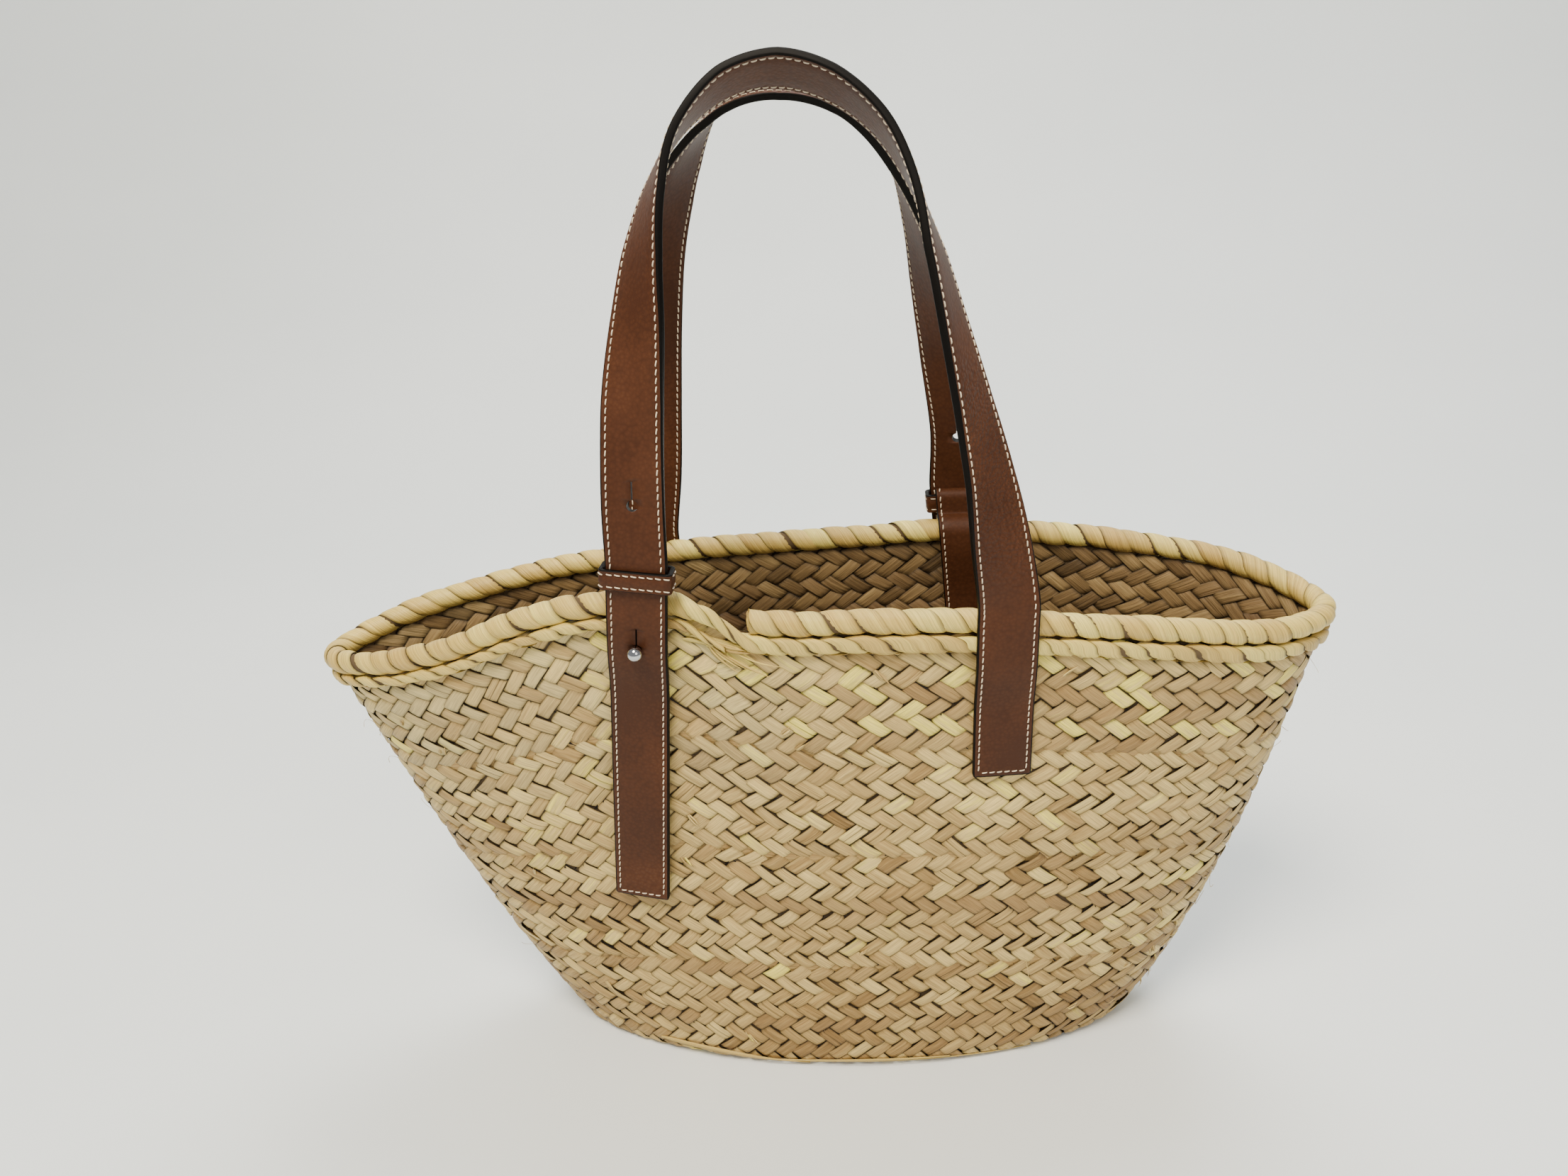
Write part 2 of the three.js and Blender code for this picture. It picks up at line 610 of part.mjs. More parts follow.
function addHandle(side) {
  const looseLeg = leg(side, 'loose');
  const frames = ribbonFrames(handleStations(side), RIBBON_STEPS);
  const studFrame = frameAtHeight(frames, looseLeg.rim - STUD_BELOW_RIM);
  const holeFrame = frameAtHeight(frames, looseLeg.rim - STUD_BELOW_RIM + HOLE_ABOVE_STUD);
  const loopFrame = frameAtHeight(frames, looseLeg.loopFoot + LOOP_HEIGHT / 2);
  const strap = cut(
    ribbon(frames, STRAP_WIDTH, STRAP_THICKNESS, STRAP_EDGE),
    boltHole(studFrame, HOLE_DIAMETER, 3 * STRAP_THICKNESS),
    slit(studFrame),
    boltHole(holeFrame, HOLE_DIAMETER, 3 * STRAP_THICKNESS),
    slit(holeFrame),
  );
  add(`handle_${side.name}`, strap, LEATHER);
  const tab = saddleTab(side, looseLeg, studFrame, loopFrame);
  add(`tab_${side.name}`, tab, LEATHER);
  add(`keeper_loop_${side.name}`, keeperLoop(loopFrame), LEATHER);
  add(`stud_${side.name}`, ballStud(studFrame), CHROME);
}

add('basket_body', basketBody(), STRAW);
add('rim_binding', rimBinding(), STRAW_PALE);
addHandle(FRONT);
addHandle(BACK);

export default bag;
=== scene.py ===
# %% [markdown]
# # A straw basket bag
#
# The real thing is a market basket: palm leaf plaited in long braids that are sewn edge to edge, a rolled
# rim wrapped with the same leaf, and two flat leather straps closed by ball studs. This lesson builds its
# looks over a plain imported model, which says where every piece is. Everything is worked out in
# millimetres and turned to metres only when a mesh is made.

import math

import bpy
import numpy as np
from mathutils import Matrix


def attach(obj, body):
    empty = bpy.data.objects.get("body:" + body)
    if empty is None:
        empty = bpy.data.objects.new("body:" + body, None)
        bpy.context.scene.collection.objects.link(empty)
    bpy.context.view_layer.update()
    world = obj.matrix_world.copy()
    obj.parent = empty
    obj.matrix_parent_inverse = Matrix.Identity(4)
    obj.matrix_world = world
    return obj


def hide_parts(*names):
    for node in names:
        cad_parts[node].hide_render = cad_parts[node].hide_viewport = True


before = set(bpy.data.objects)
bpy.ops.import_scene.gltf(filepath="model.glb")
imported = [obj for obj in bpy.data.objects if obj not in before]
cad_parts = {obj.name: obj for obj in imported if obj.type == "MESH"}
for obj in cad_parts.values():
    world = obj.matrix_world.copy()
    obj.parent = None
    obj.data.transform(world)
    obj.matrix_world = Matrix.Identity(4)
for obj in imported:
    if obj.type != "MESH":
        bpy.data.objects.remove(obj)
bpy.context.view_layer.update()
MM = 0.001
dice = np.random.default_rng(20240611)
print("nodes:", ", ".join(sorted(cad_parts)))

# %% [markdown]
# ## The camera
#
# The camera comes first, so that every later choice can be judged in the same view. The photograph was
# taken from a little above, straight at the front, and its place and turn were worked out from measures in
# it. A camera looks along its own minus Z, so its three axes are written down as right, up and backwards,
# and put in the columns of a matrix.

# %% Place the camera
from mathutils import Matrix

PHOTO_WIDTH = 2212
FOCAL_PIXELS = 1700
CAMERA_PLACE = (0.0046, -0.4882, 0.4621)
CAMERA_RIGHT = (0.9982, 0.0386, -0.0456)
CAMERA_UP = (0.0250, 0.4224, 0.9061)
CAMERA_BACK = (0.0542, -0.9056, 0.4207)

lens = bpy.data.cameras.new("camera")
lens.sensor_width = 36
lens.lens = lens.sensor_width * FOCAL_PIXELS / PHOTO_WIDTH
camera = bpy.data.objects.new("camera", lens)
turn = Matrix((CAMERA_RIGHT, CAMERA_UP, CAMERA_BACK)).transposed().to_4x4()
camera.matrix_world = Matrix.Translation(CAMERA_PLACE) @ turn
bpy.context.scene.collection.objects.link(camera)
bpy.context.scene.camera = camera
print("camera lens, mm:", round(lens.lens, 2))

# %% [markdown]
# ## Meshes from grids
#
# Nearly every piece here is a grid of points: a leaf tile, a wrap of the rim, a strap. Three small helpers
# join the points of many equal grids into faces, and make one object of them. Each point may carry a place
# on its strip of leaf or leather, in millimetres, as a UV map, and numbers such as its tone, as attributes
# that a material can read.

# %% Helpers for grids and objects
def grid_faces(rows, columns, copies=1, close_columns=False):
    """Quads of a rows by columns grid of points, repeated for so many grids stored one after another."""
    row, column = np.meshgrid(
        np.arange(rows - 1), np.arange(columns if close_columns else columns - 1), indexing="ij"
    )
    after = (column + 1) % columns
    quads = np.stack(
        [row * columns + column, row * columns + after,
         (row + 1) * columns + after, (row + 1) * columns + column], axis=-1
    ).reshape(-1, 4)
    starts = np.arange(copies)[:, None, None] * rows * columns
    return (quads[None] + starts).reshape(-1, 4)


def make_piece(name, points, faces, uv=None, attributes=None, materials=(), face_material=None):
    """An object from points in millimetres and quads. It rides on the bag's only body."""
    mesh = bpy.data.meshes.new(name)
    points, faces = np.asarray(points, float).reshape(-1, 3), np.asarray(faces, int)
    mesh.vertices.add(len(points))
    mesh.vertices.foreach_set("co", (points * MM).ravel())
    mesh.loops.add(faces.size)
    mesh.loops.foreach_set("vertex_index", faces.ravel())
    mesh.polygons.add(len(faces))
    mesh.polygons.foreach_set("loop_start", np.arange(0, faces.size, faces.shape[1]))
    mesh.polygons.foreach_set("use_smooth", np.ones(len(faces), bool))
    for material in materials:
        mesh.materials.append(material)
    if face_material is not None:
        mesh.polygons.foreach_set("material_index", np.asarray(face_material, int))
    if uv is not None:
        layer = mesh.uv_layers.new(name="strip")
        layer.data.foreach_set("uv", np.asarray(uv).reshape(-1, 2)[faces.ravel()].ravel())
    for key, values in (attributes or {}).items():
        mesh.attributes.new(key, "FLOAT", "POINT").data.foreach_set("value", np.ravel(values).astype(float))
    mesh.update(calc_edges=True)
    mesh.validate()
    piece = bpy.data.objects.new(name, mesh)
    bpy.context.scene.collection.objects.link(piece)
    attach(piece, "root")
    print(f"{name}: {len(points)} points, {len(faces)} faces")
    return piece


def smooth_column(places, values, at):
    """A table's column between its rows: a cubic whose slopes come from the neighbouring rows."""
    places, values = np.asarray(places, float), np.asarray(values, float)
    at = np.clip(at, places[0], places[-1])
    low = np.clip(np.searchsorted(places, at, side="right") - 1, 0, len(places) - 2)
    rows = np.arange(len(places))
    before, after = np.maximum(rows - 1, 0), np.minimum(rows + 1, len(places) - 1)
    slope = (values[after] - values[before]) / (places[after] - places[before])
    span = places[low + 1] - places[low]
    t = (at - places[low]) / span
    return (
        (2 * t**3 - 3 * t**2 + 1) * values[low] + (t**3 - 2 * t**2 + t) * slope[low] * span
        + (3 * t**2 - 2 * t**3) * values[low + 1] + (t**3 - t**2) * slope[low + 1] * span
    )


def mix(a, b, share):
    return a + (b - a) * share


def ease(share):
    share = np.clip(share, 0, 1)
    return share * share * (3 - 2 * share)


def unit(vectors):
    return vectors / np.maximum(np.linalg.norm(vectors, axis=-1, keepdims=True), 1e-12)


print("a grid of 3 by 4 points makes", len(grid_faces(3, 4)), "quads")

# %% [markdown]
# ## Materials from nodes
#
# A material is a small network of nodes. One function adds a node, sets its settings and joins or sets its
# inputs, and everything else is said by the network itself. Colours are written as the hex values that a
# picture shows, which are sRGB, and Blender mixes light in linear values, so one function turns the one
# into the other.

# %% Helpers for materials
def linear(hex_colour):
    """Linear RGBA of an sRGB hex colour such as '#c8b48a'."""
    shown = [int(hex_colour[i : i + 2], 16) / 255 for i in (1, 3, 5)]
    return tuple(c / 12.92 if c <= 0.04045 else ((c + 0.055) / 1.055) ** 2.4 for c in shown) + (1.0,)


def add_node(material, kind, settings=(), **inputs):
    """Adds a node. Inputs are numbers or another node's output: _ in a name stands for a space, and in0
    is the first socket. The setting stops puts (place, hex colour) pairs on a colour ramp."""
    node = material.node_tree.nodes.new(kind)
    for key, value in dict(settings).items():
        if key != "stops":
            setattr(node, key, value)
            continue
        elements = node.color_ramp.elements
        while len(elements) > 1:
            elements.remove(elements[-1])
        for i, (place, colour) in enumerate(value):
            stop = elements[0] if i == 0 else elements.new(place)
            stop.position, stop.color = place, linear(colour)
    for key, value in inputs.items():
        numbered = key.startswith("in") and key[2:].isdigit()
        socket = node.inputs[int(key[2:]) if numbered else key.replace("_", " ")]
        if isinstance(value, bpy.types.NodeSocket):
            material.node_tree.links.new(value, socket)
        else:
            socket.default_value = value
    return node


def new_material(name):
    material = bpy.data.materials.new(name)
    material.use_nodes = True
    material.node_tree.nodes.clear()
    return material


print("middle grey #808080 in linear values:", round(linear("#808080")[0], 3))

# %% [markdown]
# ## Dried palm leaf
#
# The leaf is split, dried and plaited by hand, with nothing put on it. To the eye that is a matt strip with
# fine ribs along its length, about two to a millimetre, and a slow change of colour from strip to strip. Its
# edges are darker where it turns under its neighbour, and that darkening is painted shade. A photograph of
# leaf could be wrapped round the bag, but it would repeat and stretch, so one network of noises draws every
# leaf; the wall outside, the wall inside and the rim differ in their colours. The ribs follow the UV map,
# which holds millimetres along and across the strip, and each tile starts at its own place in the noise.

# %% Make the leaf materials
RIBS_PER_MM = 2.2
RIB_RUN_PER_MM = 0.05
STREAKS_PER_MM = 0.55
STREAK_RUN_PER_MM = 0.03
RIB_RELIEF = 0.35 * MM


def palm_leaf(name, stops, blush_colour, edge_colour, roughness):
    """Plaited dried palm leaf. stops: its colours from the dullest to the palest strip. edge_colour: painted
    shade at the sides and ends of each tile, where it turns under its neighbour.
    """
    leaf = new_material(name)
    place = add_node(leaf, "ShaderNodeUVMap", {"uv_map": "strip"}).outputs["UV"]
    ribs_place = add_node(
        leaf, "ShaderNodeVectorMath", {"operation": "MULTIPLY"}, in0=place,
        in1=(RIB_RUN_PER_MM, RIBS_PER_MM, 1),
    )
    ribs = add_node(
        leaf, "ShaderNodeTexNoise", {"noise_dimensions": "2D"},
        Vector=ribs_place.outputs[0], Scale=1.0, Detail=3.0, Roughness=0.6,
    ).outputs["Fac"]
    streak_place = add_node(
        leaf, "ShaderNodeVectorMath", {"operation": "MULTIPLY"}, in0=place,
        in1=(STREAK_RUN_PER_MM, STREAKS_PER_MM, 1),
    )
    streaks = add_node(
        leaf, "ShaderNodeTexNoise", {"noise_dimensions": "2D"},
        Vector=streak_place.outputs[0], Scale=1.0, Detail=2.0, Roughness=0.5,
    ).outputs["Fac"]
    tone, blush, sage, across, along = (
        add_node(leaf, "ShaderNodeAttribute", {"attribute_name": key}).outputs["Fac"]
        for key in ("tone", "blush", "sage", "across", "along")
    )
    shifted = add_node(
        leaf, "ShaderNodeMath", {"operation": "MULTIPLY_ADD"}, in0=streaks, in1=0.5, in2=-0.25
    ).outputs[0]
    shade = add_node(leaf, "ShaderNodeMath", {"operation": "ADD"}, in0=tone, in1=shifted).outputs[0]
    plain = add_node(leaf, "ShaderNodeValToRGB", {"stops": stops}, Fac=shade).outputs["Color"]
    blushed = add_node(leaf, "ShaderNodeMath", {"operation": "MULTIPLY"}, in0=blush, in1=0.75).outputs[0]
    warm = add_node(
        leaf, "ShaderNodeMix", {"data_type": "RGBA"}, in0=blushed, in6=plain, in7=linear(blush_colour)
    ).outputs[2]
    colour = add_node(
        leaf, "ShaderNodeMix", {"data_type": "RGBA"}, in0=sage, in6=warm, in7=linear("#bdb182")
    ).outputs[2]
    dark = add_node(
        leaf, "ShaderNodeMapRange", Value=ribs, From_Min=0.3, From_Max=0.62, To_Min=0.7, To_Max=1.08
    ).outputs[0]
    ribbed = add_node(leaf, "ShaderNodeVectorMath", {"operation": "SCALE"}, in0=colour, Scale=dark).outputs[0]
    # Painted shade: the colour goes to edge_colour towards the tile's long sides and its ends, where it turns
    # under its neighbour.
    sides = add_node(leaf, "ShaderNodeMath", {"operation": "ABSOLUTE"}, in0=across).outputs[0]
    side_shade = add_node(leaf, "ShaderNodeMath", {"operation": "POWER"}, in0=sides, in1=10.0).outputs[0]
    ends = add_node(leaf, "ShaderNodeMath", {"operation": "ABSOLUTE"}, in0=along).outputs[0]
    end_shade = add_node(leaf, "ShaderNodeMath", {"operation": "POWER"}, in0=ends, in1=7.0).outputs[0]
    end_shade_share = add_node(leaf, "ShaderNodeMath", {"operation": "MULTIPLY"}, in0=end_shade, in1=0.55).outputs[0]
    edge = add_node(
        leaf, "ShaderNodeMath", {"operation": "MULTIPLY_ADD", "use_clamp": True},
        in0=side_shade, in1=0.92, in2=end_shade_share,
    ).outputs[0]
    shaded = add_node(
        leaf, "ShaderNodeMix", {"data_type": "RGBA", "blend_type": "MIX"},
        in0=edge, in6=ribbed, in7=linear(edge_colour),
    ).outputs[2]
    folds = add_node(
        leaf, "ShaderNodeMath", {"operation": "MULTIPLY_ADD"}, in0=streaks, in1=2.2, in2=ribs
    ).outputs[0]
    relief = add_node(
        leaf, "ShaderNodeMath", {"operation": "MULTIPLY_ADD"}, in0=edge, in1=-0.8, in2=folds
    ).outputs[0]
    bump = add_node(
        leaf, "ShaderNodeBump", Strength=0.6, Distance=RIB_RELIEF, Height=relief
    ).outputs["Normal"]
    shader = add_node(
        leaf, "ShaderNodeBsdfPrincipled",
        Base_Color=shaded, Roughness=roughness, IOR=1.45, Specular_IOR_Level=0.35, Normal=bump,
    )
    add_node(leaf, "ShaderNodeOutputMaterial", Surface=shader.outputs["BSDF"])
    return leaf


# Outside: sun-bleached leaf, matt, from tan to straw yellow, with a few lemon strips at the top of the range.
LEAF_OUTSIDE = palm_leaf(
    "plaited_palm_leaf",
    [(0.0, "#7e6134"), (0.2, "#9f814c"), (0.4, "#b99c60"),
     (0.6, "#cbb070"), (0.82, "#dac07a"), (1.0, "#ecd968")],
    "#917347", "#1e1306", 0.55,
)
# Inside: the same leaf from its dull side, rougher, in browner and darker colours that are painted shade,
# which keeps the mouth of the bag deep.
LEAF_INSIDE_SHADED = palm_leaf(
    "plaited_palm_leaf_inside_shaded",
    [(0.0, "#52412b"), (0.35, "#6f5939"), (0.7, "#8e754d"), (1.0, "#ab9362")],
    "#644c33", "#160f06", 0.65,
)
# Binding: whole leaf pulled tight round the roll, so it is smoother, yellower and has a soft sheen.
LEAF_BINDING = palm_leaf(
    "wrapped_palm_leaf",
    [(0.0, "#a18042"), (0.3, "#c3a457"), (0.6, "#d6bb67"), (1.0, "#ecda78")],
    "#a07f4c", "#22160a", 0.45,
)
# Core: leaf that lies under the rest. It is only seen through gaps, so its dark, flat colour is painted
# shade.
SHADED_CORE_LEAF = palm_leaf("palm_leaf_in_shadow", [(0.0, "#4b3d2a"), (1.0, "#5c4b34")], "#4b3d2a", "#3a2e1f", 0.9)
print("leaf materials:", LEAF_OUTSIDE.name, LEAF_INSIDE_SHADED.name, LEAF_BINDING.name, SHADED_CORE_LEAF.name)

# %% [markdown]
# ## The wall's surface
#
# The wall flares from an oval base to a longer oval mouth that lies open unevenly. Its middle surface is
# one formula of an angle round the bag and a share of its height, with the same named sizes as the packed
# model, so that a tile put on it lies where the model's wall is. The formula works on whole arrays, which
# makes tens of thousands of points in a moment.

# %% Describe the wall
WALL = 3
BASE_LENGTH, BASE_DEPTH, BASE_CORNER = 272, 104, 7
MOUTH_TO_LEFT, MOUTH_TO_RIGHT, MOUTH_DEPTH = 232.5, 211.5, 100
WALL_HEIGHT = 238
FLARE_POWER_LEFT, FLARE_POWER_RIGHT, FLARE_POWER_ACROSS = 0.79, 0.7, 0.68
GAP = 0.3

RIM_ACROSS = (-1, -0.85, -0.7, -0.55, -0.4, -0.25, -0.1, 0.1, 0.3, 0.5, 0.7, 0.85, 1)
RIM_FRONT = (0.855, 0.887, 0.933, 0.996, 1.034, 1.037, 1.0, 0.996, 0.99, 0.968, 0.939, 0.914, 0.903)
RIM_BACK = (0.855, 0.9, 0.929, 0.952, 0.962, 0.968, 0.973, 0.981, 0.992, 0.981, 0.96, 0.941, 0.903)
MOUTH_FULLNESS = {"front": (0.0, 0.1), "back": (-0.2, 0.4)}


def edge_height(angle):
    """Height of the wall's top edge."""
    across = np.cos(angle)
    front, back = smooth_column(RIM_ACROSS, RIM_FRONT, across), smooth_column(RIM_ACROSS, RIM_BACK, across)
    return WALL_HEIGHT * np.where(np.sin(angle) < 0, front, back)


def wall_point(angle, share):
    """The wall's middle at an angle from the right tip and a share of its height."""
    across, deep = np.cos(angle), np.sin(angle)
    front = np.where(across < 0, *MOUTH_FULLNESS["front"])
    back = np.where(across < 0, *MOUTH_FULLNESS["back"])
    fullness = np.where(deep < 0, front, back)
    mouth_x = mix(-MOUTH_TO_LEFT, MOUTH_TO_RIGHT, (across + 1) / 2)
    mouth_y = MOUTH_DEPTH / 2 * deep * (1 + fullness * across**2)
    base_x, base_y = (BASE_LENGTH - WALL) / 2 * across, (BASE_DEPTH - WALL) / 2 * deep
    share = np.maximum(share, 1e-4)
    flare = mix(FLARE_POWER_LEFT, FLARE_POWER_RIGHT, (across + 1) / 2)
    x = mix(base_x, mouth_x, share**flare)
    y = mix(base_y, mouth_y, share**FLARE_POWER_ACROSS)
    return np.stack([x, y, share * edge_height(angle)], axis=-1)


def wall_frame(angle, share):
    """Unit directions round the bag, up the wall and out of it."""
    step = 0.01
    share = np.maximum(share, 2 * step)
    around = unit(wall_point(angle + step, share) - wall_point(angle - step, share))
    up = unit(wall_point(angle, share + step) - wall_point(angle, share - step))
    return around, up, unit(np.cross(around, up))


tips = wall_point(np.array([0, math.pi]), np.ones(2))
print("wall's middle at the mouth, mm: right", tips[0].round(1), "left", tips[1].round(1))

# %% [markdown]
# ## From rows of weave to places on the bag
#
# The weave is laid out in tiles round the bag and rows up it. A row is a step of about 8 mm up the wall.
# Below row 0 the rows go on round the bottom corner and inwards under the base, in rings like those of the
# real bag, whose braid is sewn in an oval spiral. Tiles have to be spaced evenly along the wall, not in
# angle, because the oval is four times as long as it is deep, so a table turns a share of the way round
# into an angle at each row.

# %% Map rows and shares of the way round onto the bag
WALL_ROWS = 29
ROW_HEIGHT = 8.0
CORNER_BEND = BASE_CORNER - WALL / 2
CORNER_ROWS = CORNER_BEND * math.pi / 2 / ROW_HEIGHT
BASE_ROWS = 5.8
BULGE_RIGHT = 3.0


def skin(angle, row, lift):
    """Points lift millimetres outside the wall's middle, at rows up the wall and on round under the base."""
    edge = edge_height(angle)
    share = mix(BASE_CORNER / edge, 1, np.maximum(row, 0) / WALL_ROWS)
    point = wall_point(angle, share)
    _, _, out = wall_frame(angle, share)
    bend = np.clip(-row / CORNER_ROWS, 0, 1) * math.pi / 2
    inwards = CORNER_BEND * (1 - np.cos(bend)) + np.maximum(-row - CORNER_ROWS, 0) * ROW_HEIGHT
    flat = unit(out * (1, 1, 0))
    normal = unit(out * np.cos(bend)[..., None] + np.array([0, 0, -1]) * np.sin(bend)[..., None])
    across, deep = np.cos(angle), np.sin(angle)
    half_length, half_depth = (BASE_LENGTH - WALL) / 2, (BASE_DEPTH - WALL) / 2
    ring = np.stack([(half_length - inwards) * across, (half_depth - inwards) * deep, 0 * across], axis=-1)
    beyond = np.clip((inwards - CORNER_BEND) / ROW_HEIGHT, 0, 1)[..., None]
    lowered = point - flat * inwards[..., None]
    lowered[..., 2] = np.where(row < 0, WALL / 2 + CORNER_BEND * (1 - np.sin(bend)), point[..., 2])
    ring[..., 2] = WALL / 2
    placed = mix(lowered, ring, ease(beyond))
    right_bulge = BULGE_RIGHT * ease(across * 1.5 - 0.2) * np.sin(np.pi * np.clip(share, 0, 1)) * (row > 0)
    placed = placed + normal * (lift + right_bulge)[..., None]
    placed[..., 2] = np.maximum(placed[..., 2], 0.15)
    return placed


TABLE_LEVELS = 72
TABLE_STEPS = 1440
TABLE_ROWS = np.linspace(-CORNER_ROWS - BASE_ROWS, WALL_ROWS, TABLE_LEVELS)
TABLE_ANGLES = np.linspace(0.5 * math.pi, 2.5 * math.pi, TABLE_STEPS + 1)
on_the_wall = np.zeros(TABLE_STEPS + 1)
steps = np.stack([skin(TABLE_ANGLES, on_the_wall + row, on_the_wall) for row in TABLE_ROWS])
lengths = np.linalg.norm(np.diff(steps, axis=1), axis=-1)
PERIMETERS = lengths.sum(axis=1)
from_start = np.concatenate([np.zeros((TABLE_LEVELS, 1)), np.cumsum(lengths, axis=1)], axis=1)
travelled = from_start / PERIMETERS[:, None]
EVEN_SHARES = np.linspace(0, 1, TABLE_STEPS + 1)
ANGLE_TABLE = np.stack([np.interp(EVEN_SHARES, shares, TABLE_ANGLES) for shares in travelled])


def angle_round(share, row):
    """Angle at a share of the way round, which starts at the middle of the back, at a row."""
    turns, share = np.floor(share), share % 1
    row_at = np.clip((row - TABLE_ROWS[0]) / (TABLE_ROWS[1] - TABLE_ROWS[0]), 0, TABLE_LEVELS - 1.001)
    share_at = np.clip(share * TABLE_STEPS, 0, TABLE_STEPS - 0.001)
    r, s = row_at.astype(int), share_at.astype(int)
    low = mix(ANGLE_TABLE[r, s], ANGLE_TABLE[r, s + 1], share_at - s)
    high = mix(ANGLE_TABLE[r + 1, s], ANGLE_TABLE[r + 1, s + 1], share_at - s)
    return mix(low, high, row_at - r) + 2 * math.pi * turns


print("way round, mm: base", round(PERIMETERS[12]), "mouth", round(PERIMETERS[-1]))

# %% [markdown]
# ## The herringbone
#
# Two sets of strips cross at a slant, each passes over two and under two, and what shows is rows of
# slanted tiles that lean to the right in one row and to the left in the next. A shader could draw this,
# but the real tiles are domed, catch light on their own, and make the outline of the bag knobbly. So each
# tile is a small curved patch. Its long way is one lattice step, half a tile across and half a row up; its
# ends run on and dive under the crossing tiles, which, with painted shade at each tile's sides and ends,
# gives the dark lines between them.

# %% Count and colour the tiles
def row_counts(rows, bands):
    """How many tiles go round in each row. A braid of several rows keeps one count."""
    counts = {}
    for first, last, tile_pitch in bands:
        middle = np.interp((first + last) / 2 + 0.5, TABLE_ROWS, PERIMETERS)
        for row in range(first, last + 1):
            counts[row] = int(round(middle / tile_pitch))
    for row in rows:
        if row not in counts:
            counts[row] = max(int(round(np.interp(row + 0.5, TABLE_ROWS, PERIMETERS) / bands[0][2])), 6)
    return counts


def tile_colours(u, row, count, leans, pale_chance):
    """Tone and blush of each tile: mostly its strip's own, a little the tile's, slow drifts by region, and
    painted shade that darkens the rows near the base.
    """
    strip = np.round(u - leans * row).astype(int) % count
    band = (row // 7).astype(int) + 3
    strip_tone = dice.normal(0, 1, (2, 16, 200))[(leans > 0).astype(int), band % 16, strip % 200]
    strip_blush = dice.normal(0, 1, (2, 16, 200))[(leans > 0).astype(int), band % 16, strip % 200]
    way = 2 * np.pi * u / count
    region = np.sin(3 * way + 0.42 * row + 1.0) * 0.5 + np.sin(5 * way - 0.31 * row + 2.2) * 0.5
    row_blush = dice.normal(0, 1, 64)[(row.astype(int) + 16) % 64]
    own_tone = dice.normal(0, 1, len(u))
    # The last term darkens the rows near the base: painted shade on the lower wall, which faces down, away
    # from the light above.
    tone = 0.52 + 0.15 * strip_tone + 0.1 * own_tone + 0.1 * region - 0.14 * ease((8 - row) / 6)
    blush = 0.2 + 0.2 * strip_blush + 0.26 * row_blush + 0.2 * np.sin(2 * way - 0.5 * row)
    near_rim = ease((row - 21) / 3) * ease((WALL_ROWS - 0.5 - row) / 1.5)
    front_right = ease((np.cos(way - 3.7) - 0.2) / 0.4)
    pale = dice.random(len(u)) < pale_chance * (0.3 + near_rim * (1.5 + 6 * front_right))
    front_left = ease((np.cos(way - 2.1) - 0.45) / 0.35)
    sage = 0.5 * front_left * ease((row - 17) / 6) * ease(0.5 + 0.4 * dice.normal(0, 1, len(u)))
    tone, blush = np.clip(tone + 0.1 * front_left * near_rim, 0.05, 0.88), np.clip(blush, 0, 1)
    return np.where(pale, 0.97, tone), np.where(pale, 0, blush), np.where(pale, 0, sage)


print("tiles of 10 mm round the mouth:", round(PERIMETERS[-1] / 10))

# %% Make the tiles of one face of the wall
TILE_OVERRUN = 1.24
TILE_CROWN = 2.0
END_DIVE = 1.55
TILE_LENGTH, STRIP_WIDTH = 18, 6.4
SPLIT_CHANCE = 0.07


